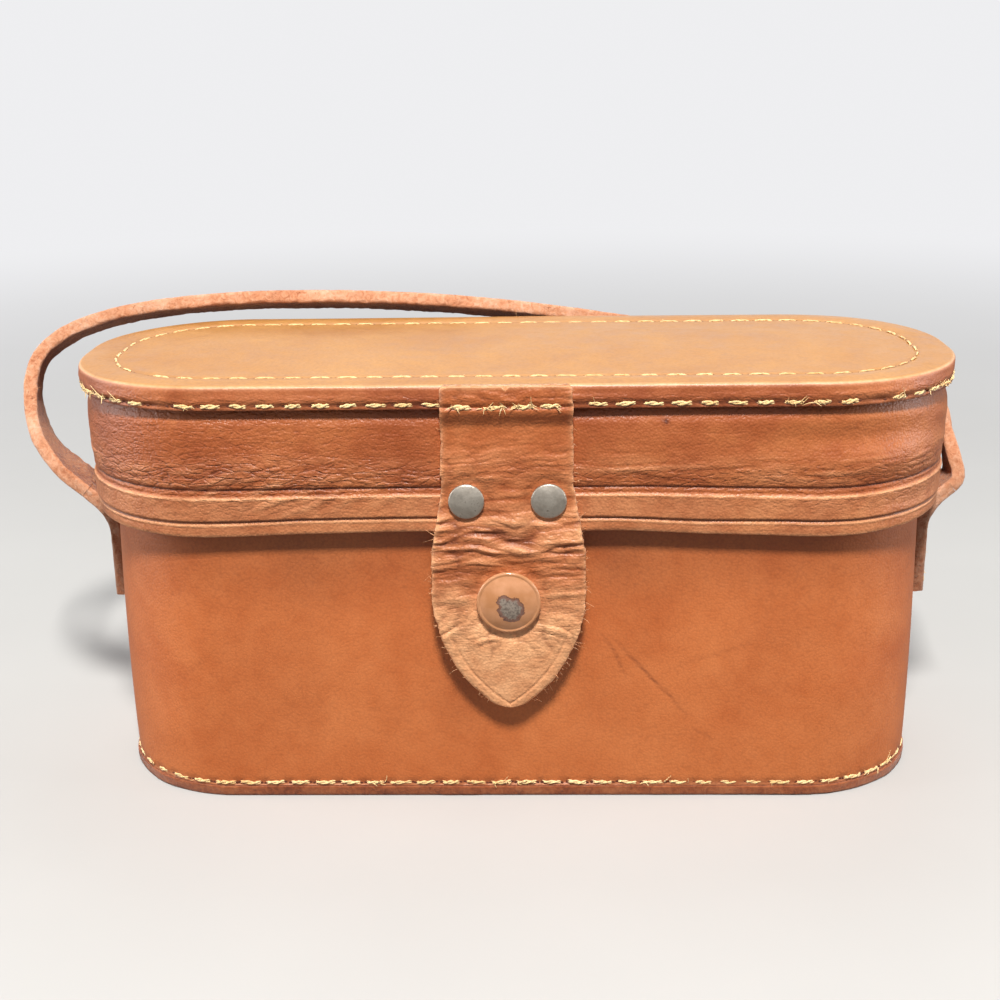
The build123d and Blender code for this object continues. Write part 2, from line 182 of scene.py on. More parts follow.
def add_mesh(name, points, faces, finishes, slots=None):
    """A smooth-shaded piece from points in millimetres."""
    mesh = bpy.data.meshes.new(name)
    mesh.from_pydata((np.asarray(points, float) * mm).tolist(), [], [list(map(int, f)) for f in faces])
    for finish in finishes:
        mesh.materials.append(finish)
    if slots is not None:
        mesh.polygons.foreach_set("material_index", np.asarray(slots, np.int32))
    mesh.polygons.foreach_set("use_smooth", np.ones(len(mesh.polygons), bool))
    mesh.update()
    piece = bpy.data.objects.new(name, mesh)
    bpy.context.scene.collection.objects.link(piece)
    return piece


def stain(piece, name, values):
    """Keeps a share from 0 to 1 at each point under a name, which the finish reads: wear and painted
    highlight, grime and painted shade, and crinkles.
    """
    attribute = piece.data.attributes.new(name, "FLOAT", "POINT")
    attribute.data.foreach_set("value", np.clip(values, 0, 1).astype(np.float32))


def loop_grid(rows, columns, closed_rows=False):
    """Faces between rows of points, where each row is a closed loop."""
    faces = []
    for row in range(rows if closed_rows else rows - 1):
        below = row * columns
        above = (row + 1) % rows * columns
        for column in range(columns):
            beside = (column + 1) % columns
            faces.append((below + column, below + beside, above + beside, above + column))
    return faces


def read_route(name, points):
    """The smooth line of a route: points read from its NURBS spline, in millimetres."""
    curve = bpy.data.curves.new(name, "CURVE")
    curve.dimensions = "3D"
    curve.resolution_u = 14
    spline = curve.splines.new("NURBS")
    spline.points.add(len(points) - 1)
    for knot, place in zip(spline.points, points):
        knot.co = (place[0] * mm, place[1] * mm, place[2] * mm, 1.0)
    spline.order_u = 3
    spline.use_endpoint_u = True
    holder = bpy.data.objects.new(name, curve)
    bpy.context.scene.collection.objects.link(holder)
    bpy.context.view_layer.update()
    line = bpy.data.meshes.new_from_object(holder)
    read = np.array([vertex.co for vertex in line.vertices]) / mm
    bpy.data.objects.remove(holder)
    bpy.data.meshes.remove(line)
    return read


def even_steps(line, step, partner):
    """The same line with points a steady step apart, and its partner line read at the same places."""
    runs = np.linalg.norm(np.diff(line, axis=0), axis=1)
    along = np.concatenate([[0], np.cumsum(runs)])
    wanted = np.linspace(0, along[-1], max(8, int(along[-1] / step)))
    return [np.stack([np.interp(wanted, along, way[:, k]) for k in range(3)], axis=1)
            for way in (line, partner)]


def face_outward(piece, gap=None):
    """Turns every face outward, and first joins the points that lie closer than a gap in millimetres."""
    mesh = bmesh.new()
    mesh.from_mesh(piece.data)
    if gap:
        bmesh.ops.remove_doubles(mesh, verts=mesh.verts, dist=gap * mm)
    bmesh.ops.recalc_face_normals(mesh, faces=mesh.faces)
    mesh.to_mesh(piece.data)
    mesh.free()


def strap_section():
    """The strap's round-cornered section as (across, outward), starting on the outer face's left corner."""
    side_points = 5
    face_points = 11
    half_width = strap_width / 2 - strap_corner
    half_thick = strap_thick / 2 - strap_corner
    section = []
    for turn, (cx, cy) in enumerate([(half_width, half_thick), (half_width, -half_thick),
                                     (-half_width, -half_thick), (-half_width, half_thick)]):
        start = math.pi / 2 - turn * math.pi / 2
        for k in range(4):
            angle = start - k * math.pi / 6
            section.append((cx + strap_corner * math.cos(angle), cy + strap_corner * math.sin(angle)))
        last = section[-1]
        if turn % 2 == 0:
            far = (last[0], -last[1])
            count = side_points
        else:
            far = (-last[0], last[1])
            count = face_points
        for k in range(1, count):
            share = k / count
            section.append((last[0] + (far[0] - last[0]) * share, last[1] + (far[1] - last[1]) * share))
    return np.array(section)


def strap_strip(name, line, across, grain_side, finishes):
    """A strip of strap leather along a line: grain outside, flesh inside, rough cut edges, plain ends."""
    ways = np.gradient(line, axis=0)
    ways /= np.linalg.norm(ways, axis=1)[:, None]
    across = across - ways * (across * ways).sum(axis=1)[:, None]
    across /= np.linalg.norm(across, axis=1)[:, None]
    outward = np.cross(across, ways) * grain_side
    section = strap_section()
    count = len(section)
    points = (line[:, None, :] + across[:, None, :] * section[None, :, 0, None]
              + outward[:, None, :] * section[None, :, 1, None])
    flat = points.reshape(-1, 3)
    from_edge = strap_width / 2 - np.abs(section[:, 0])
    on_edge = np.tile(from_edge < 0.45, len(line))
    on_flesh = np.tile(section[:, 1] < -strap_thick / 2 + 0.5, len(line))
    near_edge = np.tile(np.exp(-(from_edge / 0.8) ** 2), len(line))
    spread = np.tile(np.sign(section[:, 0]), len(line))
    push = np.where(on_edge, 0.2 * clouds(flat, 1.1, 11) + 0.22 * clouds(flat, 3.4, 12), 0.0)
    lift = np.where(on_flesh, 0.16 * clouds(flat, 1.0, 13) + 0.14 * clouds(flat, 3.4, 14), 0.0)
    side_way = np.repeat(across, count, axis=0) * spread[:, None]
    swell = np.where(on_flesh, -0.12, 0.14) * near_edge * clouds(flat, 1.6, 15)
    flat = flat + side_way * push[:, None] + np.repeat(outward, count, axis=0) * (swell - lift)[:, None]
    grain_slot, edge_slot, flesh_slot = range(3)
    middles = (section + np.roll(section, -1, axis=0)) / 2
    ring_slots = [edge_slot if abs(x) > strap_width / 2 - 0.62 else flesh_slot if y < 0 else grain_slot
                  for x, y in middles]
    faces = loop_grid(len(line), count)
    faces.append(tuple(range(len(flat), len(flat) + count))[::-1])
    faces.append(tuple(range(len(flat) + count, len(flat) + 2 * count)))
    piece = add_mesh(name, np.concatenate([flat, flat[:count], flat[-count:]]), faces, finishes,
                     ring_slots * (len(line) - 1) + [edge_slot] * 2)
    face_outward(piece)
    return piece


def ply(path, radii, sides, parts):
    """One strand of fibre or thread: a tube with its own radii along a path, closed at both ends.

    It is added to parts, which holds a mesh's points, faces and finish slots."""
    points, faces, slots = parts
    path = np.asarray(path)
    ways = np.gradient(path, axis=0)
    ways /= np.maximum(np.linalg.norm(ways, axis=1)[:, None], 1e-9)
    aside = np.cross(ways[0], (0.31, 0.22, 0.93))
    first = len(points)
    for k in range(len(path)):
        aside = aside - ways[k] * (aside @ ways[k])
        aside /= np.linalg.norm(aside)
        other = np.cross(ways[k], aside)
        for s in range(sides):
            turn = 2 * math.pi * s / sides
            points.append(path[k] + radii[k] * (aside * math.cos(turn) + other * math.sin(turn)))
    tube = [tuple(first + corner for corner in face) for face in loop_grid(len(path), sides)]
    tube.append(tuple(range(first, first + sides))[::-1])
    tube.append(tuple(range(len(points) - sides, len(points))))
    faces += tube
    slots += [0] * len(tube)


def fray(name, roots, finish, seed, length):
    """Loose fibres on a cut edge. Each root is a place and the way out of the leather there."""
    fibre_radius = 0.06
    dice = np.random.default_rng(seed)
    parts = ([], [], [])
    for place, out in roots:
        lean = dice.normal(0, 0.5, 3)
        curl = dice.normal(0, 0.55, 3)
        reach = length * dice.uniform(0.35, 1.0) ** 1.5
        shares = np.linspace(0, 1, 5)[:, None]
        path = (np.array(place, float) + (np.array(out, float) + lean) * shares * reach
                + curl * shares ** 2 * reach)
        ply(path, np.linspace(fibre_radius * dice.uniform(0.8, 1.6), 0.02, 5), 4, parts)
    return add_mesh(name, parts[0], parts[1], [finish], parts[2])


def hide_leather(name, deep, mid, pale, worn, pebble, pebble_depth, roughness):
    """Drum-dyed cowhide, grain side out: soft mottling, pebbled grain, creases, pale worn folds, dark grime,
    painted shade and painted highlight.

    Painted shade darkens the crinkles' valleys and the pebbles' edges, together with the share of grime and
    painted shade; the share of wear and painted highlight pales the hide towards the worn colour.
    Grain and pores are drawn about twice as coarse as real ones, so that they show."""
    finish, tree, surface, place = new_finish(name)
    broad = put(tree, "TexNoise", {"Vector": place, "Scale": 1 / 26.0, "Detail": 4.0, "Roughness": 0.55,
                                   "Distortion": 0.4})
    patchy = put(tree, "TexNoise", {"Vector": place, "Scale": 1 / 5.0, "Detail": 6.0, "Roughness": 0.6})
    mottle = put(tree, "Math", {0: patchy, 1: 0.45, 2: broad}, operation="MULTIPLY_ADD")
    tones = put(tree, "ValToRGB", {"Fac": mottle}, [(0.5, deep), (0.95, pale), (0.7, mid)])

    warped = put(tree, "TexNoise", {"Vector": place, "Scale": 1 / 1.6, "Detail": 2.0})
    bent = put(tree, "VectorMath", {0: warped.outputs["Color"], 1: (0.5, 0.5, 0.5), 2: place},
               operation="MULTIPLY_ADD")
    cells = put(tree, "TexVoronoi", {"Vector": bent, "Scale": 1 / pebble}, feature="F1")
    pores = put(tree, "TexNoise", {"Vector": place, "Scale": 1 / 0.35, "Detail": 3.0})

    ripple = 0.85
    flowing = put(tree, "TexNoise", {"Vector": place, "Scale": 1 / 7.0, "Detail": 2.0})
    drawn = put(tree, "VectorMath", {0: flowing.outputs["Color"], 1: (2.2, 2.2, 2.2), 2: place},
                operation="MULTIPLY_ADD")
    stretched = put(tree, "VectorMath", {0: drawn, 1: (0.34, 0.34, 1.0)}, operation="MULTIPLY")
    ripples = put(tree, "TexNoise", {"Vector": stretched, "Scale": 1 / ripple, "Detail": 2.5,
                                     "Roughness": 0.55})
    net = put(tree, "TexVoronoi", {"Vector": stretched, "Scale": 1 / (1.5 * ripple)},
              feature="DISTANCE_TO_EDGE")
    net_rise = put(tree, "MapRange", {"Value": net, "From Max": 0.16, "To Max": 0.3})
    crinkles = put(tree, "Math", {0: ripples, 1: net_rise}, operation="ADD")
    crinkle_share = put(tree, "Attribute", attribute_name="crinkle").outputs["Fac"]
    crinkle_rise = put(tree, "Math", {0: crinkles, 1: crinkle_share}, operation="MULTIPLY")

    # The share of wear and painted highlight pales the hide towards the worn colour: rubbed wear, and painted
    # highlight on lit crests, ledges and folds.
    wear_and_highlight_share = put(tree, "Attribute", attribute_name="wear_and_highlight").outputs["Fac"]
    broken = put(tree, "Math", {0: patchy, 1: 1.7}, operation="MULTIPLY")
    wear_and_highlight = put(tree, "Math", {0: wear_and_highlight_share, 1: broken}, operation="MULTIPLY", use_clamp=True)
    paled = put(tree, "Mix", {0: wear_and_highlight, 6: tones, 7: colour(worn)}, data_type="RGBA")
    # Painted shade: the crinkles' valleys and the pebbles' edges are darkened towards 5A2817, added to the
    # share of grime and painted shade.
    cell_shade = put(tree, "MapRange", {"Value": cells, "From Min": 0.35, "From Max": 0.95, "To Max": 0.16})
    hollow = put(tree, "MapRange", {"Value": crinkles, "From Min": 0.66, "From Max": 0.4, "To Max": 0.45})
    hollow_shade = put(tree, "Math", {0: hollow, 1: crinkle_share, 2: cell_shade}, operation="MULTIPLY_ADD")
    grime_and_shade_share = put(tree, "Attribute", attribute_name="grime_and_shade").outputs["Fac"]
    grime_and_painted_shade = put(tree, "Math", {0: grime_and_shade_share, 1: hollow_shade}, operation="ADD", use_clamp=True)
    darkened = put(tree, "Mix", {0: grime_and_painted_shade, 6: paled, 7: colour("5A2817")}, data_type="RGBA")

    rough = put(tree, "MapRange", {"Value": patchy, "From Min": 0.3, "From Max": 0.7,
                                   "To Min": roughness - 0.07, "To Max": roughness + 0.09})
    fine = put(tree, "Bump", {"Height": pores, "Distance": 0.03 * mm, "Strength": 0.6})
    lines = put(tree, "Bump", {"Height": crinkle_rise, "Distance": 0.52 * mm, "Strength": 1.0,
                               "Normal": fine})
    pebbled = put(tree, "Bump", {"Height": cells, "Distance": pebble_depth * mm, "Strength": 1.0,
                                 "Normal": lines}, invert=True)
    feed(surface, {"Base Color": darkened, "Roughness": rough, "Specular IOR Level": 0.5, "IOR": 1.47,
                   "Normal": pebbled})
    return finish


def raw_hide(name, deep, mid, pale, fibre=0.45, rise=0.25):
    """The flesh side and cut edges of the hide: matted fibres with no grain, which scatter light softly."""
    finish, tree, surface, place = new_finish(name)
    matted = put(tree, "TexNoise", {"Vector": place, "Scale": 1 / (2.2 * fibre), "Detail": 8.0,
                                    "Roughness": 0.7, "Distortion": 0.8})
    broad = put(tree, "TexNoise", {"Vector": place, "Scale": 1 / 9.0, "Detail": 3.0})
    mixed = put(tree, "Math", {0: broad, 1: 0.5, 2: matted}, operation="MULTIPLY_ADD")
    tones = put(tree, "ValToRGB", {"Fac": mixed}, [(0.55, deep), (0.95, pale), (0.72, mid)])
    # The share of grime and painted shade darkens the fibres towards 4E2614: grime, and painted shade where
    # the piece lies in shade.
    grime_and_shade_share = put(tree, "Attribute", attribute_name="grime_and_shade").outputs["Fac"]
    darkened = put(tree, "Mix", {0: grime_and_shade_share, 6: tones, 7: colour("4E2614")}, data_type="RGBA")
    fuzz = put(tree, "Bump", {"Height": matted, "Distance": rise * 3 * mm, "Strength": 0.9})
    feed(surface, {"Base Color": darkened, "Roughness": 0.92, "Specular IOR Level": 0.2, "Sheen Weight": 0.25,
                   "Sheen Roughness": 0.5, "Normal": fuzz})
    return finish


strap_grain = hide_leather("Strap belt leather", "B4653A", "CE8052", "E19E72", "F5CBA8", pebble=0.9,
                           pebble_depth=0.06, roughness=0.48)
cut_edge = raw_hide("Cut leather edge", "A8612F", "DC9560", "F8CFA4")
flesh_side = raw_hide("Leather flesh side", "70361D", "A2603A", "C48656")
strap_edge = raw_hide("Rubbed strap edge", "B06C49", "CC8F6B", "E0B194", fibre=0.6, rise=0.2)
strap_finishes = [strap_grain, strap_edge, flesh_side]

hoop_route = read_route("strap_route", [place for place, across in strap_hoop])
hoop_edge = read_route("strap_edge", [np.array(place) + strap_width / 2 * np.array(across)
                                      for place, across in strap_hoop])
strap_step = 0.8
hoop_line, hoop_edge = even_steps(hoop_route, strap_step, hoop_edge)
strap_hoop_piece = strap_strip("strap_hoop", hoop_line, hoop_edge - hoop_line, -1, strap_finishes)
stain(strap_hoop_piece, "wear_and_highlight", np.full(len(strap_hoop_piece.data.vertices), 0.25))
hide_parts("carry_strap")
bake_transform(strap_hoop_piece)

fibre_dice = np.random.default_rng(3)
hoop_across = hoop_edge - hoop_line
hoop_across /= np.linalg.norm(hoop_across, axis=1)[:, None]
hoop_roots = []
for _ in range(170):
    spot = fibre_dice.integers(8, len(hoop_line) - 8)
    way = hoop_line[spot + 1] - hoop_line[spot - 1]
    inward = np.cross(hoop_across[spot], way / np.linalg.norm(way))
    height = fibre_dice.uniform(-1.4, 1.6)
    hoop_roots.append((hoop_line[spot] - hoop_across[spot] * 5.85 + inward * height,
                       -0.7 * hoop_across[spot] + inward * 0.4))
hoop_fray = fray("strap_fibres", hoop_roots, cut_edge, 4, 1.3)
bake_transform(hoop_fray)

for side, label in ((-1, "left"), (1, "right")):
    tail_route = read_route("tail_route", [(side * x, y, z) for x, y, z in tail_places])
    tail_line = even_steps(tail_route, strap_step, tail_route)[0]
    tail = strap_strip(f"strap_tail_{label}", tail_line, np.tile([0.0, 1.0, 0.0], (len(tail_line), 1)), side,
                       strap_finishes)
    tail_height = np.array([vertex.co.z for vertex in tail.data.vertices]) / mm
    stain(tail, "wear_and_highlight", 0.25 * ease_between(tail_height, 60.0, 66.0))
    # Painted shade: the tails are painted darker from about 60 mm down to their sewn lower ends.
    stain(tail, "grime_and_shade", 0.5 * ease_between(-tail_height, -67.5, -59.0))
    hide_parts(f"strap_end_{label}")
    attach(tail, "base")


# The body: one band of cowhide, 2.4 mm thick, moulded round a stiff board and sewn to its bottom 3 mm above
# the table. Handling has polished it, and it bears a few scratches.
plan_long = 206.0
plan_deep = 79.0
plan_corner = 35.5
body_inset = 6.0
body_leather = 2.4
body_top = 78.0
sole_thick = 2.4
seam_rise = 3.3
stitch_pitch = 6.05
straight_x = plan_long / 2 - plan_corner
straight_y = plan_deep / 2 - plan_corner
weld_gap = 0.004


def plan_ring(step):
    """Points round the lid's widest outline with their outward directions, in millimetres."""
    quarter = math.pi / 2 * plan_corner
    lengths = [straight_x * 2, quarter, straight_y * 2, quarter] * 2
    total = sum(lengths)
    count = int(round(total / step))
    places = []
    ways = []
    corners = [(straight_x, -straight_y), (straight_x, straight_y),
               (-straight_x, straight_y), (-straight_x, -straight_y)]
    for k in range(count):
        rest = total * k / count
        stretch = 0
        while rest > lengths[stretch]:
            rest -= lengths[stretch]
            stretch += 1
        corner = corners[stretch // 2]
        base_turn = -math.pi / 2 + stretch // 2 * math.pi / 2
        if stretch % 2:
            turn = base_turn + rest / plan_corner
            way = (math.cos(turn), math.sin(turn))
            place = (corner[0] + plan_corner * way[0], corner[1] + plan_corner * way[1])
        else:
            way = (math.cos(base_turn), math.sin(base_turn))
            back = lengths[stretch] - rest
            place = (corner[0] + plan_corner * way[0] + back * way[1],
                     corner[1] + plan_corner * way[1] - back * way[0])
        places.append(place)
        ways.append(way)
    return np.array(places), np.array(ways)


def plan_at(places, ways, inset):
    """The outline drawn in by an inset; far in, it closes on the plan's middle line."""
    last_even = plan_corner - 6.0
    if inset <= last_even:
        return places - ways * inset
    edge = places - ways * last_even
    reach = plan_long / 2 - plan_deep / 2
    middle = np.stack([np.clip(places[:, 0], -reach, reach), np.zeros(len(places))], axis=1)
    share = (inset - last_even) / (plan_deep / 2 - last_even)
    return edge + (middle - edge) * min(share, 1.0)


def soft_profile(corners, closed=True):
    """A profile of (inset, height) points from corners of (inset, height, rounding, step that follows)."""
    points = []
    count = len(corners)
    for k, (inset, height, rounding, step) in enumerate(corners):
        here = np.array([inset, height], float)
        if not closed and k in (0, count - 1):
            points.append(here)
        else:
            before = np.array(corners[k - 1][:2], float)
            after = np.array(corners[(k + 1) % count][:2], float)
            inward = (before - here) / np.linalg.norm(before - here)
            outward = (after - here) / np.linalg.norm(after - here)
            for share in np.linspace(0, 1, 6 if rounding > 0.05 else 1):
                points.append(here + inward * rounding * (1 - share) ** 2 + outward * rounding * share ** 2)
        if closed or k < count - 1:
            gap = np.array(corners[(k + 1) % count][:2], float) - points[-1]
            straight = np.linalg.norm(gap) - corners[(k + 1) % count][2]
            last = points[-1] + gap * straight / np.linalg.norm(gap)
            parts = int(straight / step)
            for part in range(1, parts):
                points.append(points[-1] + (last - points[-1]) / (parts - part + 1))
    return np.array(points)


def plan_shell(name, profile, ring_step, finishes, relief, closed=True):
    """Leather that follows the case's plan. relief gives its height in millimetres off the drawn surface."""
    places, ways = plan_ring(ring_step)
    rows = len(profile)
    count = len(places)
    points = np.zeros((rows, count, 3))
    for row, (inset, height) in enumerate(profile):
        points[row, :, :2] = plan_at(places, ways, inset)
        points[row, :, 2] = height
    around = np.roll(points, -1, axis=1) - np.roll(points, 1, axis=1)
    if closed:
        down = np.roll(points, -1, axis=0) - np.roll(points, 1, axis=0)
    else:
        down = np.gradient(points, axis=0)
    normals = np.cross(down, around)
    sizes = np.linalg.norm(normals, axis=2, keepdims=True)
    normals = np.where(sizes > 1e-6, normals / np.maximum(sizes, 1e-9), [0, 0, 1])
    flat = points.reshape(-1, 3)
    height = relief(flat, normals.reshape(-1, 3))
    moved = flat + normals.reshape(-1, 3) * height[:, None]
    return add_mesh(name, moved, loop_grid(rows, count, closed_rows=closed), finishes), flat


def ring_run(x, y):
    """How far round the plan each point lies, which the seam's puckers repeat along."""
    turn = np.arctan2(y, np.abs(x) - straight_x)
    return np.clip(x, -straight_x, straight_x) + np.sign(x) * np.where(
        np.abs(x) > straight_x, plan_corner * (turn + math.pi / 2), 0.0)


def seam_pinch(x, y, depth):
    """How far each stitch draws the leather in: 1 at its middle, less twice the depth between two."""
    return 1 - depth + depth * np.cos(2 * math.pi * ring_run(x, y) / stitch_pitch)


body_hide = hide_leather("Smooth cowhide", "BB6332", "C46D3A", "CE7843", "EFB387", pebble=0.6,
                         pebble_depth=0.045, roughness=0.43)
# Scratches on the front, as the ends' places across and up, and how deep they went
body_scratches = [((22.3, 41.2), (40.8, 20.2), 0.13), ((19.5, 42.0), (26.4, 30.6), 0.1),
                  ((34.0, 32.4), (57.0, 40.0), 0.04), ((41.0, 18.0), (47.0, 14.0), 0.05),
                  ((-79.0, 30.0), (-70.0, 38.0), 0.05)]


def scratch_depth(flat):
    """How deep the scratches cut at each point of the front."""
    depth = np.zeros(len(flat))
    across = flat[:, [0, 2]] + 0.6 * np.stack([clouds(flat, 5.0, 71), clouds(flat, 5.0, 72)], axis=1)
    for start, end, cut in body_scratches:
        start = np.array(start)
        run = np.array(end) - start
        share = np.clip((across - start) @ run / (run @ run), 0, 1)
        gap = np.linalg.norm(across - (start + share[:, None] * run), axis=1)
        depth += cut * np.exp(-(gap / 0.28) ** 2) * np.sin(np.pi * np.clip(share, 0.03, 0.97))
    return depth * (flat[:, 1] < -20)


def faces_out(flat, normals):
    """Whether each point is on the outside of a wall."""
    return normals[:, 0] * flat[:, 0] + normals[:, 1] * flat[:, 1] > 0


def body_relief(flat, normals):
    """The wall sags and bellies by a few tenths, and is drawn in along the bottom seam."""
    x, y, z = flat.T
    upright = (normals[:, 2] ** 2 < 0.6) & (np.hypot(normals[:, 0], normals[:, 1]) > 0.5)
    sag = 0.3 * clouds(flat, 34.0, 3) + 0.1 * clouds(flat, 11.0, 4)
    belly = 0.45 * np.sin(np.clip((z - 4) / 62, 0, 1) * math.pi)
    seam = 0.5 * bump(z, seam_rise, 0.75) * seam_pinch(x, y, 0.4)
    return np.where(upright & faces_out(flat, normals), sag + belly - seam - scratch_depth(flat), 0.0)


body_profile = soft_profile([
    (body_inset, body_top, 0.9, 1.2),
    (body_inset, 66.0, 0.0, 0.7),
    (body_inset, sole_thick + 0.05, 0.25, 1.0),
    (body_inset + body_leather, sole_thick + 0.05, 0.1, 9.0),
    (body_inset + body_leather, body_top, 0.5, 1.0),
])
body_shell, body_flat = plan_shell("body_shell", body_profile, 0.85, [body_hide], body_relief)
z = body_flat[:, 2]
# The wall is darker along the bottom seam, towards its top under the lid's skirt, at its very bottom, in
# random blotches and in the scratches.
stain(body_shell, "grime_and_shade", 0.35 * bump(z, seam_rise, 0.6)
      + 0.3 * ease_between(z, 43.0, 64.0) + 0.3 * ease_between(-z, -3.6, -2.6)
      + 0.2 * np.clip(-clouds(body_flat, 18.0, 5), 0, 1) ** 2 + 4.5 * scratch_depth(body_flat))
stain(body_shell, "wear_and_highlight", 0.3 * bump(z, sole_thick + 0.3, 0.8))
face_outward(body_shell, weld_gap)
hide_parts("body_wall")
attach(body_shell, "base")


# The sole: a flat panel of the same hide, 2.4 mm thick, sewn on from outside with its cut edge showing all
# round. The edge is burnished brown where the case has slid about.
sole_inset = body_inset - 0.5
sole_edge = raw_hide("Burnished sole edge", "6E351B", "8C4A29", "A4623C", fibre=0.6, rise=0.12)


def sole_relief(flat, normals):
    """The cut edge is a little uneven."""
    on_edge = np.abs(normals[:, 2]) < 0.7
    return np.where(on_edge, 0.22 * clouds(flat, 8.0, 8) + 0.09 * clouds(flat, 1.3, 9) - 0.05, 0.0)


sole_profile = soft_profile([
    (plan_deep / 2, sole_thick, 0.0, 4.0),
    (sole_inset, sole_thick, 0.35, 0.4),
    (sole_inset, 0.0, 0.75, 3.0),
    (plan_deep / 2, 0.0, 0.0, 0.5),
], closed=False)
sole_shell, sole_flat = plan_shell("sole_shell", sole_profile, 0.85, [body_hide, sole_edge], sole_relief,
                                   closed=False)
for face in sole_shell.data.polygons:
    face.material_index = int(face.center.z > 0.05 * mm)
stain(sole_shell, "wear_and_highlight", 0.4 * bump(sole_flat[:, 2], 0.0, 0.5))
face_outward(sole_shell, weld_gap)
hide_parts("base_panel")
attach(sole_shell, "base")


# The lid's wall: a softer band of hide that drops over the body. Two lines are pressed round it near the
# bottom, which leave a flat raised band, and the leather above the band is wrinkled and slack.
skirt_inset = 1.9
skirt_leather = 2.0
skirt_low = 67.6
skirt_high = 99.9
upper_line = 78.2
lower_line = 71.2
# How far the slack hem hangs below its line, along the front
hem_places = (-103, -90, -77, -61, -49, -38, -26, 24, 31, 43, 54, 66, 77, 90, 103)
hem_drops = (0.5, 1.1, 1.2, 1.0, 0.5, 0.25, 0.0, 0.0, 0.25, 0.9, 1.2, 1.7, 1.7, 1.3, 0.6)
skirt_speck = (33.5, 93.2)
skirt_hide = hide_leather("Pebbled lid hide", "93471F", "A4572C", "B66A39", "E9A878", pebble=0.6,
                          pebble_depth=0.1, roughness=0.46)


def line_height(flat, line, seed):
    """How far above a pressed line each point is; the lines wander a little."""
    return flat[:, 2] - line - 0.3 * clouds(flat, 28.0, seed)


def skirt_wrinkles(flat):
    """Long shallow wrinkles along the wall, and a patch of slanting creases left of the tab."""
    x, y, z = flat.T
    level = pillows(np.stack([x / 11.0, y / 11.0, (z + 0.9 * clouds(flat, 16.0, 22)) / 1.5], axis=1), 1.0, 23)
    fine = pillows(np.stack([x / 5.0, y / 5.0, (z + 0.5 * clouds(flat, 7.0, 24)) / 0.95], axis=1), 1.0, 25)
    near_line = bump(z, upper_line + 3.2, 3.6)
    slant = z - 0.42 * (x + 72.0) + 1.4 * clouds(flat, 12.0, 26)
    slanting = pillows(np.stack([(x + 0.42 * z) / 13.0, y / 13.0, slant / 1.8], axis=1), 1.0, 27)
    patch = bump(x, -52.0, 26.0) * bump(z, 78.5, 5.5) * (y < 0)
    return near_line, level, fine, slanting, patch


def skirt_relief(flat, normals):
    """The pressed lines with the flat band between them, and the slack and creases of the soft leather."""
    x, y, z = flat.T
    near_line, level, fine, slanting, patch = skirt_wrinkles(flat)
    barrel = 0.5 * np.sin(np.clip((z - 77.0) / 20.0, 0, 1) * math.pi) - 1.0 * ease_between(z, 92.5, 97.0)
    top_line = line_height(flat, upper_line, 31)
    low_line = line_height(flat, lower_line, 32)
    band = 0.42 * ease_between(-top_line, 1.35, 1.75) * ease_between(low_line, -0.2, 0.5)
    pressed = (-0.45 * bump(top_line, 0.0, 0.26) + 0.12 * bump(top_line, -1.9, 0.3)
               - 0.4 * bump(low_line, 0.0, 0.22) + 0.2 * bump(low_line, -0.65, 0.24))
    front = y < 0
    slack = front * (0.9 * bump(x, 84.0, 14.0) * bump(z, 83.5, 3.6)
                     - 0.8 * bump(x, 74.0, 20.0) * bump(z, 88.8, 3.4)
                     + 0.5 * bump(x, 98.0, 9.0) * bump(z, 90.0, 3.0))
    slack += 0.4 * clouds(flat, 21.0, 33) * ease_between(z, 78.0, 84.0)
    slack -= 0.3 * front * bump(x, 88.0, 10.0) * bump(z, 74.0, 1.6)
    creases = (near_line * (0.24 * level + 0.14 * fine) + 0.5 * slanting * patch + 0.07 * level
               + 0.12 * bump(z, 96.0, 2.0) * level)
    hem = -0.25 * bump(z, skirt_low, 0.8)
    total = barrel + band + pressed + slack + creases + hem + 0.04 * clouds(flat, 1.1, 34)
    return np.where(faces_out(flat, normals), total, 0.0)


skirt_profile = soft_profile([
    (skirt_inset, skirt_high, 0.1, 1.5),
    (skirt_inset, 97.6, 0.0, 0.3),
    (skirt_inset, skirt_low, 0.75, 0.6),
    (skirt_inset + skirt_leather, skirt_low, 0.5, 6.0),
    (skirt_inset + skirt_leather, skirt_high, 0.1, 1.0),
])
skirt_shell, skirt_flat = plan_shell("skirt_shell", skirt_profile, 0.62, [skirt_hide, cut_edge], skirt_relief)
x, y, z = skirt_flat.T
near_line, level, fine, slanting, patch = skirt_wrinkles(skirt_flat)
top_line = line_height(skirt_flat, upper_line, 31)
low_line = line_height(skirt_flat, lower_line, 32)
left_share = np.clip(-x / 60.0, 0, 1) * (y < 0)
stain(skirt_shell, "crinkle", 0.5 * bump(z, upper_line + 2.2, 3.4) + 0.4 * patch
      + 0.3 * left_share * ease_between(z, upper_line, upper_line + 3.0)
      + 0.3 * bump(x, 74.0, 26.0) * bump(z, 75.0, 2.2) + 0.06)
# Wear and painted highlight: the ledges under both pressed lines are painted as bright lit lines, the crests
# of the wrinkles and slanting creases are paler, partly rubbed and partly painted highlight, and the band and
# the hem are rubbed paler.
stain(skirt_shell, "wear_and_highlight", 0.95 * bump(top_line, -1.8, 0.24) + 0.8 * bump(low_line, -0.65, 0.22)
      + 0.3 * ease_between(-top_line, 1.2, 2.0) + 0.4 * near_line * level
      + 0.9 * patch * np.clip(slanting - 0.35, 0, 1) + 0.5 * bump(z, skirt_low + 0.3, 0.5))
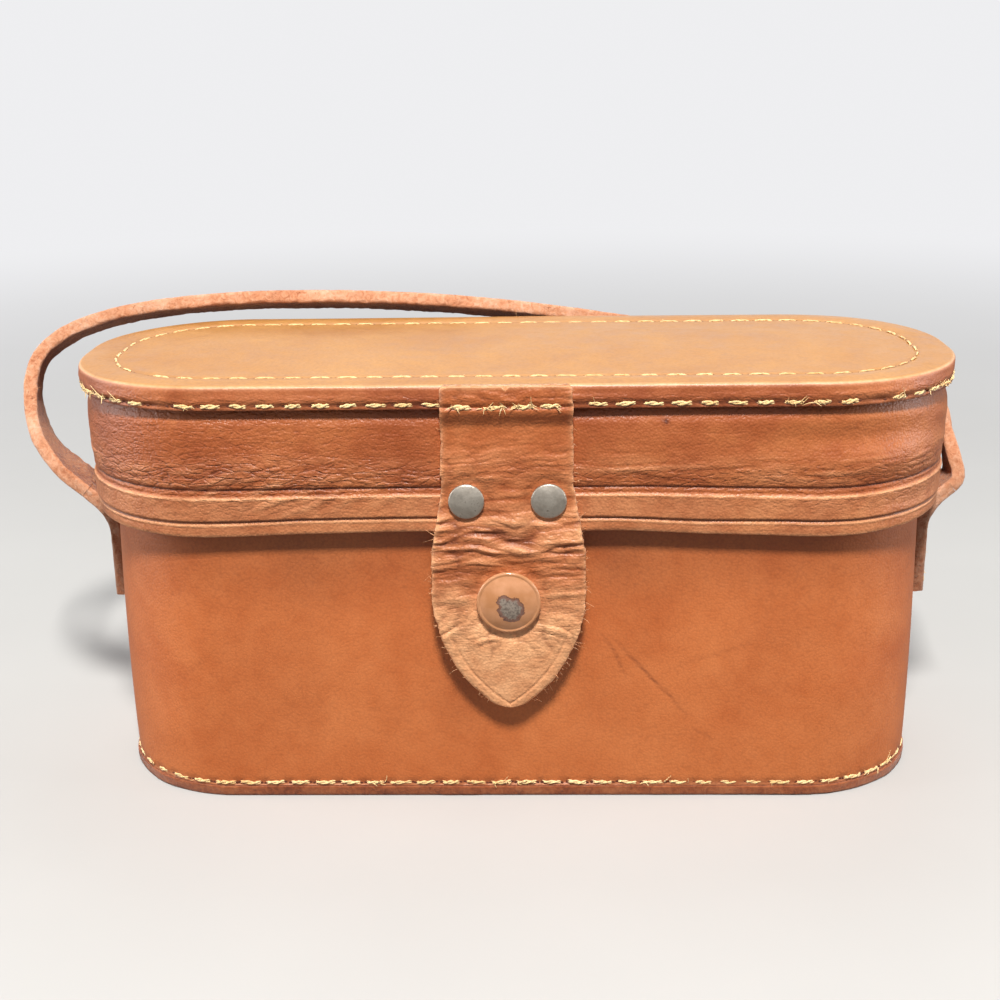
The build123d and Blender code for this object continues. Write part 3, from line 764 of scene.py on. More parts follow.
# Grime and painted shade: one dark speck on the front is a stain, the pressed lines' grooves and the valleys
# of the wrinkles and slanting creases get painted shade, and a band of painted shadow lies just under the
# rim.
speck_gap = np.hypot(x - skirt_speck[0], z - skirt_speck[1])
stain(skirt_shell, "grime_and_shade", 1.5 * bump(speck_gap, 0.0, 0.55) * (y < 0)
      + 0.8 * bump(top_line, 0.05, 0.26) + 0.75 * bump(low_line, 0.05, 0.22)
      + 0.4 * ease_between(z, 93.5, 96.8) + 0.22 * near_line * bump(level, 0, 0.1)
      + 0.25 * patch * bump(slanting, 0, 0.1))
hung = np.array([vertex.co for vertex in skirt_shell.data.vertices])
share_down = ease_between(-hung[:, 2] / mm, -86.0, -skirt_low) * ease_between(-hung[:, 1] / mm, -4.0, 16.0)
hung[:, 2] -= np.interp(hung[:, 0] / mm, hem_places, hem_drops) * share_down * mm
skirt_shell.data.vertices.foreach_set("co", hung.ravel())
face_outward(skirt_shell, weld_gap)
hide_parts("lid_skirt")
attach(skirt_shell, "lid")


# The lid's top: a thick smooth panel, moulded down over the wall all round and sewn through both. Its fold is
# painted pale, partly rubbed wear and partly painted highlight, its upward faces carry a paler painted lit
# copy of the hide's colour, and an inner oval of stitches holds the stiff board under it.
rim_low = 96.5
lid_high = 102.0
seam_line = 97.5
oval_inset = 8.6
# Painted highlight: the top's paler, yellower colours are a painted lit copy of the hide's colour, which the
# rim keeps; its smoother, glossier grain is real.
top_hide_painted_lit = hide_leather("Polished lid hide painted lit", "AE763B", "B67F42", "BE884A", "EAC09A", pebble=0.9,
                        pebble_depth=0.03, roughness=0.36)
rim_hide = hide_leather("Puckered rim hide", "904826", "A55A32", "BA7044", "EAB48E", pebble=0.6,
                        pebble_depth=0.07, roughness=0.45)


def inset_of(flat):
    """How far in from the lid's outline each point lies."""
    past_x = np.abs(flat[:, 0]) - straight_x
    past_y = np.abs(flat[:, 1]) - straight_y
    out = np.hypot(np.maximum(past_x, 0), np.maximum(past_y, 0)) + np.minimum(np.maximum(past_x, past_y), 0)
    return plan_corner - out


def top_relief(flat, normals):
    """A low crown inside the oval of stitches, and a rim that the seam has drawn into puckers."""
    x, y, z = flat.T
    gap = inset_of(flat)
    upward = ease_between(normals[:, 2], 0.25, 0.85)
    sideways = (1 - upward) * (faces_out(flat, normals) & (gap < 1.4) & (normals[:, 2] > -0.6))
    crown = 0.9 * ease_between(gap, oval_inset, 34.0) + 0.3 * bump(gap, 4.6, 2.4)
    stitched = -0.32 * bump(gap, oval_inset, 0.7)
    seam = -0.45 * bump(z, seam_line, 0.5) * seam_pinch(x, y, 0.45) - 0.3 * bump(z, seam_line, 0.7)
    drawn = np.stack([x / 6.5, y / 6.5, (z + 0.3 * clouds(flat, 5.0, 44)) / 1.1], axis=1)
    puckers = 0.26 * pillows(drawn, 1.0, 41) + 0.26 * clouds(flat, 9.0, 42)
    rim = seam + puckers * bump(z, 98.9, 1.7) - 0.2 * bump(z, rim_low, 0.5)
    return upward * (crown + stitched + 0.14 * clouds(flat, 30.0, 43)) + sideways * rim


top_profile = soft_profile([
    (plan_deep / 2, lid_high, 0.0, 1.6),
    (12.0, lid_high, 0.0, 0.5),
    (1.7, lid_high, 0.0, 0.35),
    (0.0, lid_high, 1.2, 0.35),
    (0.0, rim_low, 0.5, 0.5),
    (skirt_inset - 0.1, rim_low, 0.2, 1.2),
    (skirt_inset - 0.1, 100.0, 0.2, 5.0),
    (plan_deep / 2, 100.0, 0.0, 1.0),
], closed=False)
top_shell, top_flat = plan_shell("top_shell", top_profile, 0.62, [top_hide_painted_lit, rim_hide, cut_edge], top_relief,
                                 closed=False)
z = top_flat[:, 2]
top_gap = inset_of(top_flat)
# A thin pale line along the fold, partly rubbed wear and partly painted highlight.
stain(top_shell, "wear_and_highlight", 0.7 * bump(top_gap, 0.25, 0.3) * bump(z, 101.7, 0.45))
# Painted shade: dark lines along the rim's seam, at the rim's lower edge and along the oval of stitches.
stain(top_shell, "grime_and_shade", 0.55 * bump(z, seam_line, 0.35) * (top_gap < 1.0)
      + 0.5 * bump(z, rim_low, 0.4) + 0.1 * bump(top_gap, oval_inset, 0.6) * (z > 101))
stain(top_shell, "crinkle", 0.4 * bump(z, 98.6, 1.2) * (top_gap < 1.0))
for face in top_shell.data.polygons:
    if face.center.z < 101.5 * mm:
        face.material_index = 2 if face.normal.z < -0.8 else 1
face_outward(top_shell, weld_gap)
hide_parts("lid_top")
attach(top_shell, "lid")


# The closing tab: one softer leather, sewn over the rim, riveted to the wall and free below. Opening the
# stud has bent it for years, so it is deeply wrinkled under the rivets, and its cut edge is frayed.
tab_x = -1.2
tab_top = 102.1
tab_tip = 25.2
tab_thick = 2.4
tab_front = 40.0
tab_over_rim = 1.9
tab_curl = 1.5
tab_side_radius = 37.5
tab_side_centre = (-20.1, 55.0)
tab_tip_radius = 8.6
tab_arcs_meet = 27.9
rivet_xs = (tab_x - 9.1, tab_x + 9.1)
rivet_z = 75.8
stud_z = 52.3
tab_hide = hide_leather("Soft tab hide", "9E4F25", "B06031", "C47645", "F4B684", pebble=0.6,
                        pebble_depth=0.09, roughness=0.47)


def tab_half_width(z):
    """Half the tab's width: nearly parallel above, then one long arc each side and a small round tip."""
    above = np.interp(z, [55.0, 64.0, 69.0, 74.0, 79.0, 101.2, tab_top],
                      [17.4, 17.0, 16.25, 15.3, 14.6, 14.35, 13.6])
    drop = np.clip(tab_side_centre[1] - z, 0, tab_side_radius)
    side = tab_side_centre[0] + np.sqrt(tab_side_radius ** 2 - drop ** 2)
    tip_middle = tab_tip + tab_tip_radius
    tip = np.sqrt(np.clip(tab_tip_radius ** 2 - (np.minimum(z, tip_middle) - tip_middle) ** 2, 0, None))
    below = np.where(z < tab_arcs_meet, np.minimum(side, tip), side)
    return np.where(z > tab_side_centre[1], above, np.maximum(below, 0.05))


def tab_reach(z):
    """How far in front of the case's middle the tab's outer face lies."""
    over = tab_over_rim * ease_between(z, 92.3, 97.0)
    curl = tab_curl * (np.clip(46.0 - z, 0, None) / 21.0) ** 2
    return tab_front + over - curl


def tab_relief(x, z):
    """The tab's wrinkles in millimetres, at points across and up from its own middle line.

    It gives their height, and the shares of valley and crest that the painted shade and the wear with painted
    highlight follow."""
    def folds(across, up, seed, depth=0.0):
        """Folds whose length and spacing are the distances that across and up are counted in."""
        return pillows(np.stack([across, np.full_like(x, depth), up], axis=1), 1.0, seed)

    def near_rivets(middle, spread):
        """A ring round each rivet."""
        return sum(bump(np.hypot(x - (rivet_x - tab_x), z - rivet_z), middle, spread) for rivet_x in rivet_xs)

    spot = np.stack([x, np.zeros_like(x), z], axis=1)
    wander = z - 0.05 * x + 1.5 * clouds(spot, 12.0, 51) + 0.55 * clouds(spot, 4.5, 52)
    deep = folds(x / 10.0, wander / 2.0, 53)
    mid = folds(x / 7.0, wander / 1.2, 54)
    fine = folds(x / 3.2, wander / 0.85, 58)
    from_stud = np.hypot(x, z - stud_z)
    bent = np.clip(bump(z, 68.0, 7.0) + 0.4 * bump(z, 82.0, 5.0) + 0.3 * bump(z, 57.0, 6.0), 0, 1)
    bent *= 1 - 0.8 * bump(from_stud, 0.0, 7.0)
    angle = np.arctan2(x, stud_z - z)
    rays = folds(angle * 4.2 + 0.3 * clouds(spot, 5.0, 55), from_stud / 14.0, 56, depth=0.3)
    fanned = bump(from_stud, 11.5, 4.5) * ease_between(stud_z - z, -8.0, 2.0)
    arcs = folds(x / 8.0, (wander + 0.02 * x * x) / 1.7, 57)
    lower = bump(z, 44.5, 4.5) * (1 - 0.6 * bump(from_stud, 0.0, 8.5))
    loose = 1 - 0.95 * np.clip(near_rivets(0.0, 5.6) * 1.4, 0, 1)
    heavy = bent * loose * (1.45 * deep + 0.85 * mid + 0.3 * fine)
    light = 0.6 * fanned * rays + 0.6 * lower * arcs + 0.05 * fine + 0.05 * mid
    near_seam = bump(z, 99.6, 1.7)
    puckers = 0.5 * near_seam * folds(x / 4.5, wander / 1.1, 59)
    seam = -0.5 * bump(z, seam_line, 0.5)
    arc_gap = tab_side_radius - np.hypot(np.abs(x) - tab_side_centre[0], z - tab_side_centre[1])
    border = -0.2 * bump(arc_gap, 2.4, 0.3) * ease_between(-z, -50.0, -44.0)
    dents = -0.35 * near_rivets(4.6, 1.3) - 0.3 * bump(from_stud, 8.0, 1.4)
    height = (heavy + light + puckers + seam + border + dents + 0.05 * clouds(spot, 0.9, 60)
              - 0.25 * bent)
    valley = np.clip(bent * (bump(deep, 0, 0.12) + 0.5 * bump(mid, 0, 0.12))
                     + 0.4 * fanned * bump(rays, 0, 0.12)
                     + 0.6 * lower * bump(arcs, 0, 0.1) + 0.6 * near_seam * bump(puckers, 0, 0.05), 0, 1)
    crest = np.clip(bent * (deep + 0.5 * mid) + 0.6 * fanned * rays + 0.6 * lower * arcs, 0, 1)
    return height, valley, crest


tab_rows = np.concatenate([np.arange(tab_top, 30.0, -0.27),
                           tab_tip + 4.6 * (1 - np.sin(np.linspace(0.0, math.pi / 2, 26)[1:]))])
front_across = np.linspace(-1, 1, 110)
back_across = np.linspace(1, -1, 18)
edge_steps = (0.35, 0.65)
tab_points = []
tab_wear_and_highlight = []
tab_grime_and_shade = []
for z in tab_rows:
    half = float(tab_half_width(z))
    reach = float(tab_reach(z))
    left_rag, right_rag = [0.16 * float(clouds([[side * 7.0, 0, z]], 0.7, 61)[0])
                           + 0.22 * float(clouds([[side * 7.0, 0, z]], 2.4, 62)[0]) for side in (-1, 1)]
    x = front_across * half
    height, valley, crest = tab_relief(x, np.full_like(x, z))
    edge_gap = half - np.abs(x)
    rolled = -0.55 * np.exp(-(edge_gap / 0.5) ** 1.3)
    jagged = np.where(x < 0, left_rag, right_rag) * np.exp(-edge_gap / 0.8) * np.sign(x)
    nick = 1.1 * np.clip(1 - np.abs(x + 0.2) / 0.9, 0, None) * math.exp(-(tab_top - z) / 0.7)
    tab_points += list(zip(tab_x + x + jagged, -(reach + height + rolled), z - nick))
    tab_points += [(tab_x + half + right_rag + 0.1 * share, -(reach - tab_thick * share), z)
                   for share in edge_steps]
    tab_points += [(tab_x + share * (half - 0.15), -(reach - tab_thick), z) for share in back_across]
    tab_points += [(tab_x - half - left_rag - 0.1 * share, -(reach - tab_thick * share), z)
                   for share in reversed(edge_steps)]
    unseen = 2 * len(edge_steps) + len(back_across)
    # Wear and painted highlight: the cut edges and the top edge are rubbed paler, the crests of the wrinkles
    # are paler, partly rubbed and partly painted highlight, and the tab below about 60 mm is painted lighter
    # as painted highlight, where it tilts up to the light.
    tab_wear_and_highlight += list(0.6 * np.exp(-edge_gap / 0.5) + 0.75 * crest
                     + 0.78 * ease_between(-z, -60.0, -42.0) + 0.7 * bump(z, tab_top, 0.5)) + [0.3] * unseen
    # Painted shade in the valleys of the wrinkles and puckers, and the tab a little darker above about 80 mm.
    tab_grime_and_shade += list(0.6 * valley + 0.06 * ease_between(z, 80.0, 90.0)) + [0.0] * unseen
tab_loop = len(tab_points) // len(tab_rows)
back_first = len(front_across) + len(edge_steps)
loop_slots = [0 if k < len(front_across) - 1 else 2 if back_first <= k < back_first + len(back_across) - 1
              else 1 for k in range(tab_loop)]
tab_faces = loop_grid(len(tab_rows), tab_loop)
tab_faces.append(tuple(range(tab_loop)))
tab_faces.append(tuple(range(len(tab_points) - tab_loop, len(tab_points)))[::-1])
closing_tab = add_mesh("closing_tab", tab_points, tab_faces, [tab_hide, cut_edge, flesh_side],
                       loop_slots * (len(tab_rows) - 1) + [1, 1])
tab_roots = []
for _ in range(150):
    z = fibre_dice.uniform(27.0, 101.0) if fibre_dice.random() < 0.35 else fibre_dice.uniform(27.0, 72.0)
    side = 1 if fibre_dice.random() < 0.55 else -1
    depth = fibre_dice.uniform(0.2, 2.0)
    tab_roots.append(((tab_x + side * float(tab_half_width(z)), -(float(tab_reach(z)) - depth), z),
                      (side * 1.0, -0.2, -0.4 if z < 45 else 0.0)))
tab_fray = fray("tab_fibres", tab_roots, cut_edge, 5, 1.1)
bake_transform(tab_fray)
tab_height = np.array([place[2] for place in tab_points])
stain(closing_tab, "crinkle", 0.36 * bump(tab_height, 64.0, 10.0) + 0.3 * bump(tab_height, 83.0, 4.5)
      + 0.34 * bump(tab_height, 46.0, 8.0) + 0.25 * bump(tab_height, 99.5, 1.5))
stain(closing_tab, "wear_and_highlight", np.array(tab_wear_and_highlight))
stain(closing_tab, "grime_and_shade", np.array(tab_grime_and_shade))
face_outward(closing_tab, weld_gap)
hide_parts("closure_tab", "closure_tongue")
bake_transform(closing_tab)


# The two rivets: bifurcated nickel-plated steel caps, 8 mm across, pressed into the leather. The plating
# is dull and speckled with tarnish.
def dull_nickel(name, bright, dull, spots, roughness):
    """Old nickel plate: a grey metal with a faint yellow cast, rubbed dull and spotted by tarnish."""
    finish, tree, surface, place = new_finish(name)
    breath = put(tree, "TexNoise", {"Vector": place, "Scale": 1 / 2.4, "Detail": 6.0, "Roughness": 0.62})
    speck = put(tree, "TexNoise", {"Vector": place, "Scale": 1 / 0.5, "Detail": 4.0})
    tones = put(tree, "ValToRGB", {"Fac": breath}, [(0.35, dull), (0.6, bright)])
    share = put(tree, "Math", {0: breath, 1: speck}, operation="MULTIPLY")
    spotted = put(tree, "MapRange", {"Value": share, "From Min": 0.33, "From Max": 0.42})
    mixed = put(tree, "Mix", {0: spotted, 6: tones, 7: colour(spots)}, data_type="RGBA")
    rough = put(tree, "MapRange", {"Value": speck, "From Min": 0.3, "From Max": 0.7,
                                   "To Min": roughness - 0.08, "To Max": roughness + 0.12})
    pits = put(tree, "Bump", {"Height": speck, "Distance": 0.05 * mm, "Strength": 0.5})
    feed(surface, {"Base Color": mixed, "Metallic": 0.85, "Roughness": rough, "Normal": pits})
    return finish


def lathe(name, middle_x, middle_z, profile, finishes, sides=72, dents=None):
    """A turned piece that faces the front, from (radius, distance in front of the middle) points."""
    points = []
    for radius, reach in profile:
        for k in range(sides):
            turn = 2 * math.pi * k / sides
            points.append((middle_x + radius * math.cos(turn), -reach, middle_z + radius * math.sin(turn)))
    points = np.array(points)
    if dents is not None:
        points[:, 1] += dents(points)
    piece = add_mesh(name, points, loop_grid(len(profile), sides), finishes)
    face_outward(piece, weld_gap)
    return piece


def dome(radius, low, high, steps):
    """A sphere cap's profile from its edge to its top."""
    rise = high - low
    ball = (radius * radius + rise * rise) / (2 * rise)
    turns = [math.asin(radius / ball) * (1 - k / steps) for k in range(steps + 1)]
    return [(ball * math.sin(turn), high - ball + ball * math.cos(turn)) for turn in turns]


def cover(names, finish):
    """Gives solids that are seen as they are their finish."""
    for name in names:
        nodes[name].data.materials.clear()
        nodes[name].data.materials.append(finish)


nickel = dull_nickel("Dull nickel plate", "B6AEA2", "A0978B", "81776C", 0.4)
rivet_profile = [(radius, tab_front + out) for radius, out in
                 [(0.0, -0.3), (3.7, -0.3), (3.92, -0.1), (4.0, 0.2), (3.96, 0.42), (3.82, 0.58)]
                 + dome(3.6, 0.66, 1.25, 9)]
for rivet_x, label in zip(rivet_xs, ("left", "right")):
    rivet = lathe(f"rivet_cap_{label}", rivet_x, rivet_z, rivet_profile, [nickel],
                  dents=lambda p: 0.05 * clouds(p, 2.0, 64))
    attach(rivet, "lid")
    if label == "left":
        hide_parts("rivet_caps")
cover(["rivet_posts"], nickel)


# The press stud's cap: a stamped brass cap, 14.5 mm across, enamelled brown to match the leather. A patch
# of the enamel has chipped off by use and shows the grey plating, with a dark broken edge.
chip_middle = (0.55, -1.15)
chip_radius = 2.75


def chipped_enamel():
    """Stoved enamel over metal: glossy tan paint, and bare grey metal in one chipped patch with a spur."""
    finish, tree, surface, place = new_finish("Tan enamelled cap")
    chip_place = (tab_x + chip_middle[0], 0.0, stud_z + chip_middle[1])
    off_middle = put(tree, "VectorMath", {0: place, 1: chip_place}, operation="SUBTRACT")
    flat_spot = put(tree, "VectorMath", {0: off_middle, 1: (1.0, 0.0, 1.0)}, operation="MULTIPLY")
    away = put(tree, "VectorMath", {0: flat_spot}, operation="LENGTH")
    off_spur = put(tree, "VectorMath", {0: flat_spot, 1: (1.55, 0.0, -1.9)}, operation="ADD")
    spur_away = put(tree, "VectorMath", {0: off_spur}, operation="LENGTH")
    spur_near = put(tree, "Math", {0: spur_away, 1: 1.35}, operation="ADD")
    nearest = put(tree, "Math", {0: away, 1: spur_near, 2: 0.6}, operation="SMOOTH_MIN")
    ragged = put(tree, "TexNoise", {"Vector": place, "Scale": 1 / 1.3, "Detail": 6.0, "Roughness": 0.65})
    wavy = put(tree, "Math", {0: ragged, 1: 2.6, 2: nearest}, operation="MULTIPLY_ADD")
    bare = put(tree, "MapRange", {"Value": wavy, "From Min": chip_radius + 1.38,
                                  "From Max": chip_radius + 1.26})
    broken_rim = put(tree, "MapRange", {"Value": wavy, "From Min": chip_radius + 1.62,
                                        "From Max": chip_radius + 1.4})
    core = put(tree, "MapRange", {"Value": wavy, "From Min": chip_radius + 0.95,
                                  "From Max": chip_radius + 0.6})
    smudge = put(tree, "TexNoise", {"Vector": place, "Scale": 1 / 3.5, "Detail": 5.0})
    paint = put(tree, "ValToRGB", {"Fac": smudge}, [(0.35, "B67C50"), (0.65, "C98F66")])
    broken = put(tree, "Mix", {0: broken_rim, 6: paint, 7: colour("6A4030")}, data_type="RGBA")
    spotted = put(tree, "TexNoise", {"Vector": place, "Scale": 1 / 0.55, "Detail": 5.0})
    metal = put(tree, "ValToRGB", {"Fac": spotted}, [(0.3, "6B5C52"), (0.62, "A89A8C")])
    worn = put(tree, "Mix", {0: core, 6: colour("7A5546"), 7: metal}, data_type="RGBA")
    skin = put(tree, "Mix", {0: bare, 6: broken, 7: worn}, data_type="RGBA")
    metal_share = put(tree, "Math", {0: core, 1: 0.6}, operation="MULTIPLY")
    rough = put(tree, "MapRange", {"Value": bare, "To Min": 0.26, "To Max": 0.6})
    step = put(tree, "Bump", {"Height": bare, "Distance": 0.12 * mm, "Strength": 1.0}, invert=True)
    grit = put(tree, "Bump", {"Height": spotted, "Distance": 0.03 * mm, "Strength": 0.4, "Normal": step})
    feed(surface, {"Base Color": skin, "Metallic": metal_share, "Roughness": rough, "Coat Weight": 0.5,
                   "Coat Roughness": 0.12, "Normal": grit})
    return finish


cap_profile = [(radius, tab_front + out) for radius, out in
               [(0.0, -4.1), (2.3, -4.1), (2.3, -3.4), (1.7, -3.3), (1.7, -0.1), (6.6, -0.1), (6.95, 0.1),
                (7.1, 0.6)]
               + [(6.72 + 0.5 * math.cos(turn), 1.1 + 0.5 * math.sin(turn))
                  for turn in np.linspace(-0.5, 1.85, 12)]
               + [(6.42, 1.52)] + dome(6.3, 1.58, 3.1, 18)]
stud_cap = lathe("stud_cap", tab_x, stud_z, cap_profile, [chipped_enamel()], sides=96)
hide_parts("snap_cap")
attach(stud_cap, "tongue")


# The parts behind the cap: nickel-plated brass socket, stud and post, turned or stamped, and the ring of
# brass spring wire in the socket that grips the stud.
wire = dull_nickel("Brass spring wire", "C9A05C", "A8803F", "6E5530", 0.35)
cover(["snap_socket", "snap_stud", "snap_post"], nickel)
cover(["snap_spring"], wire)


# The hinge: a thin supple strip of the same hide, glued and sewn to the back of the body and of the lid. It
# takes all the bending, so it has one soft fold where the lid's lower edge meets the body.
strip_half = 48.0
strip_thick = 1.4
strip_seams = {"lid": 89.2, "base": 43.0}
# The strip's inner face from its lower to its upper edge, as (back, height)
strip_line = [(33.5, 40.7), (33.5, 57.6), (35.5, 61.6), (37.6, 65.6), (37.6, 91.6)]
strip_hide = hide_leather("Hinge strip hide", "A5582E", "BA6A3A", "CC7E4C", "EAB48C", pebble=0.7,
                          pebble_depth=0.08, roughness=0.5)


def hinge_section():
    """The strip's inner and outer lines as (back, height), with its bends eased."""
    runs = []
    for (y0, z0), (y1, z1) in zip(strip_line, strip_line[1:]):
        parts = max(2, int(math.hypot(y1 - y0, z1 - z0) / 0.6))
        for part in range(parts):
            runs.append((y0 + (y1 - y0) * part / parts, z0 + (z1 - z0) * part / parts))
    runs.append(strip_line[-1])
    inner = np.array(runs)
    for _ in range(3):
        inner[1:-1] = (inner[:-2] + 2 * inner[1:-1] + inner[2:]) / 4
    way = np.gradient(inner, axis=0)
    way /= np.linalg.norm(way, axis=1)[:, None]
    outer = inner + np.stack([way[:, 1], -way[:, 0]], axis=1) * strip_thick
    return inner, outer


strip_inner, strip_outer = hinge_section()
strip_columns = np.linspace(-strip_half, strip_half, 130)
strip_rows = len(strip_inner)
strip_points = []
for x in strip_columns:
    lean = np.stack([np.full(strip_rows, x), strip_outer[:, 0], strip_outer[:, 1]], axis=1)
    wrinkled = np.stack([lean[:, 0] / 12.0, lean[:, 1] * 0, lean[:, 2] / 1.2], axis=1)
    lift = (0.16 * clouds(lean, 9.0, 81) + 0.3 * pillows(wrinkled, 1.0, 82) * bump(lean[:, 2], 67.0, 4.0)
            - sum(0.3 * bump(lean[:, 2], height, 0.5) for height in strip_seams.values()))
    strip_points += [(x, back + rise, z) for (back, z), rise in zip(strip_outer, lift)]
    strip_points += [(x, back + 0.02, z) for back, z in strip_inner[::-1]]
strip_faces = loop_grid(len(strip_columns), 2 * strip_rows)
strip_faces.append(tuple(range(2 * strip_rows)))
strip_faces.append(tuple(range(len(strip_points) - 2 * strip_rows, len(strip_points)))[::-1])
hinge_leather = add_mesh("hinge_leather", strip_points, strip_faces, [strip_hide])
face_outward(hinge_leather, weld_gap)
for face in hinge_leather.data.polygons:
    face.use_smooth = len(face.vertices) < 5
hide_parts("hinge_strip_upper", "hinge_strip_lower")
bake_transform(hinge_leather)


# The sewing: thick unbleached linen thread in running stitches about 6 mm apart, laid in by hand. Each stitch
# is two plies twisted together, and the oldest have burst into tufts.
thread_radius = 0.36
stitch_reach = 4.5


def linen():
    """Waxed linen thread: pale straw colour, fibrous, with a soft sheen and no gloss."""
    finish, tree, surface, place = new_finish("Linen thread")
    strand = put(tree, "TexNoise", {"Vector": place, "Scale": 1 / 0.5, "Detail": 5.0, "Roughness": 0.7})
    darkened = put(tree, "TexNoise", {"Vector": place, "Scale": 1 / 14.0, "Detail": 3.0})
    share = put(tree, "Math", {0: darkened, 1: 0.8, 2: strand}, operation="MULTIPLY_ADD")
    tones = put(tree, "ValToRGB", {"Fac": share}, [(0.62, "D6A665"), (1.05, "F3D69E")])
    fuzz = put(tree, "Bump", {"Height": strand, "Distance": 0.2 * mm, "Strength": 0.7})
    feed(surface, {"Base Color": tones, "Roughness": 0.85, "Specular IOR Level": 0.25, "Sheen Weight": 0.3,
                   "Normal": fuzz})
    return finish


def hole_shade():
    """The awl's holes: matt dark discs of painted shade."""
    finish, tree, surface, place = new_finish("Awl hole shade")
    grain = put(tree, "TexNoise", {"Vector": place, "Scale": 1 / 0.4, "Detail": 3.0})
    tones = put(tree, "ValToRGB", {"Fac": grain}, [(0.0, "4A2213"), (1.0, "703820")])
    feed(surface, {"Base Color": tones, "Roughness": 0.8})
    return finish


old_thread = linen()
awl_hole_shade = hole_shade()


def sew(name, spots, body, tufts=(), missing=(), seed=1, scale=1.0, pull=1.0):
    """A row of stitches, two plies and two holes each, with loose hairs where the thread has burst.

    Each spot is its middle, its direction along the seam and the way out of the leather."""
    hole_sides = 8
    dice = np.random.default_rng(seed)
    parts = ([], [], [])
    points, faces, slots = parts
    for index, (middle, along, out) in enumerate(spots):
        middle, along, out = (np.array(part, float) for part in (middle, along, out))
        side = np.cross(along, out)
        reach = stitch_reach * scale * pull * dice.uniform(0.86, 1.12)
        thick = thread_radius * scale * dice.uniform(0.88, 1.15)
        along = along + side * dice.uniform(-0.07, 0.07)
        if index not in missing:
            shares = np.linspace(-0.5, 0.5, 13)
            for strand in (0, math.pi):
                turn = strand + shares * dice.uniform(5.5, 8.0) + dice.uniform(0, 1)
                arch = thick * (1.35 * (1 - (2 * shares) ** 4) - 0.75)
                path = (middle + along * (shares * reach)[:, None]
                        + out * (arch + thick * 0.3 * np.sin(turn))[:, None]
                        + side * (thick * 0.75 * np.cos(turn))[:, None])
                radii = thick * 0.74 * np.clip(1.12 - np.abs(2 * shares) ** 5, 0.2, 1) * (
                    1 + 0.12 * dice.standard_normal(len(shares)))
                ply(path, radii, 7, parts)
        # Each hole is a flat dark disc of painted shade.
        for end in (-0.53, 0.53):
            hole = middle + along * reach * end
            first = len(points)
            for wide, rise in ((0.42, 0.02), (0.2, 0.05)):
                for s in range(hole_sides):
                    turn = 2 * math.pi * s / hole_sides
                    points.append(hole + along * wide * scale * math.cos(turn)
                                  + side * wide * 0.62 * scale * math.sin(turn) + out * rise)
            faces += [tuple(first + corner for corner in face) for face in loop_grid(2, hole_sides)]
            faces.append(tuple(range(first + hole_sides, first + 2 * hole_sides)))
            slots += [1] * (hole_sides + 1)
        hairs = dict(tufts).get(index, 1 if dice.random() < 0.35 else 0)
        for _ in range(hairs):
            start = middle + along * reach * dice.uniform(-0.5, 0.5) + out * thick
            swing = (along * dice.uniform(-1.0, 1.0) + side * dice.uniform(-1.0, 1.0)
                     + out * dice.uniform(0.15, 0.7))
            curl = (side * dice.uniform(-0.8, 0.8) + along * dice.uniform(-0.8, 0.8)
                    + out * dice.uniform(-0.5, 0.1))
            length = dice.uniform(0.7, 2.0) * (1.25 if hairs > 2 else 0.7) * scale
            shares = np.linspace(0, 1, 6)[:, None]
            path = start + swing * shares * length + curl * shares ** 2 * length * 0.6
            ply(path, np.linspace(0.16 if hairs > 2 else 0.08, 0.03, 6), 4, parts)
    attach(add_mesh(name, points, faces, [old_thread, awl_hole_shade], slots), body)


def seam_spots(inset, height, phase, upward=False, keep=lambda place: True):
    """Stitch places round the plan at an inset and a height, on a wall or, with upward, on a flat top."""
    places, ways = plan_ring(0.5)
    ring = plan_at(places, ways, inset)
    runs = np.linalg.norm(np.roll(ring, -1, axis=0) - ring, axis=1)
    along = np.concatenate([[0], np.cumsum(runs)])
    total = along[-1]
    count = int(round(total / stitch_pitch))
    spots = []
    for k in range(count):
        run = (k + phase) * total / count % total
        index = min(int(np.searchsorted(along, run)) - 1, len(ring) - 1)
        share = (run - along[index]) / max(runs[index], 1e-9)
        place = ring[index] * (1 - share) + ring[(index + 1) % len(ring)] * share
        x_way, y_way = ways[index]
        if keep(place):
            spots.append(((*place, height), (-y_way, x_way, 0.0),
                          (0.0, 0.0, 1.0) if upward else (x_way, y_way, 0.0)))
    return spots


def clear_of_tab(place):
    """Whether a stitch lies beside the tab, which has stitches of its own."""
    return place[1] > 0 or abs(place[0] - tab_x) > 16.2


def front_stitch(spots, x):
    """The stitch of a row that lies nearest to a place along the front."""
    return min((k for k in range(len(spots)) if spots[k][0][1] < 0), key=lambda k: abs(spots[k][0][0] - x))


def front_tufts(spots, bursts):
    """Where a row has burst into hairs, from places along the front and the number of hairs at each."""
    return [(front_stitch(spots, x), hairs) for x, hairs in bursts]


rim_spots = seam_spots(0.42, seam_line, 0.3, keep=clear_of_tab)
rim_bursts = ((-98.0, 9), (-93.0, 7), (-86.0, 3), (-72.0, 5), (63.0, 5), (69.0, 7), (84.0, 4), (97.0, 8),
              (92.0, 5))
sew("rim_stitches", rim_spots, "lid", tufts=front_tufts(rim_spots, rim_bursts), seed=5,
    missing={front_stitch(rim_spots, -79.0), front_stitch(rim_spots, 78.0)})
oval_spots = seam_spots(oval_inset, lid_high - 0.2, 0.1, upward=True)
sew("oval_stitches", oval_spots, "lid", seed=6, scale=0.56, pull=1.75,
    missing={front_stitch(oval_spots, -84.0)})
sole_spots = seam_spots(body_inset + 0.28, seam_rise, 0.6)
sole_bursts = ((-92.0, 5), (-36.0, 4), (-2.0, 6), (2.0, 5), (31.0, 4), (86.0, 6), (90.0, 5))
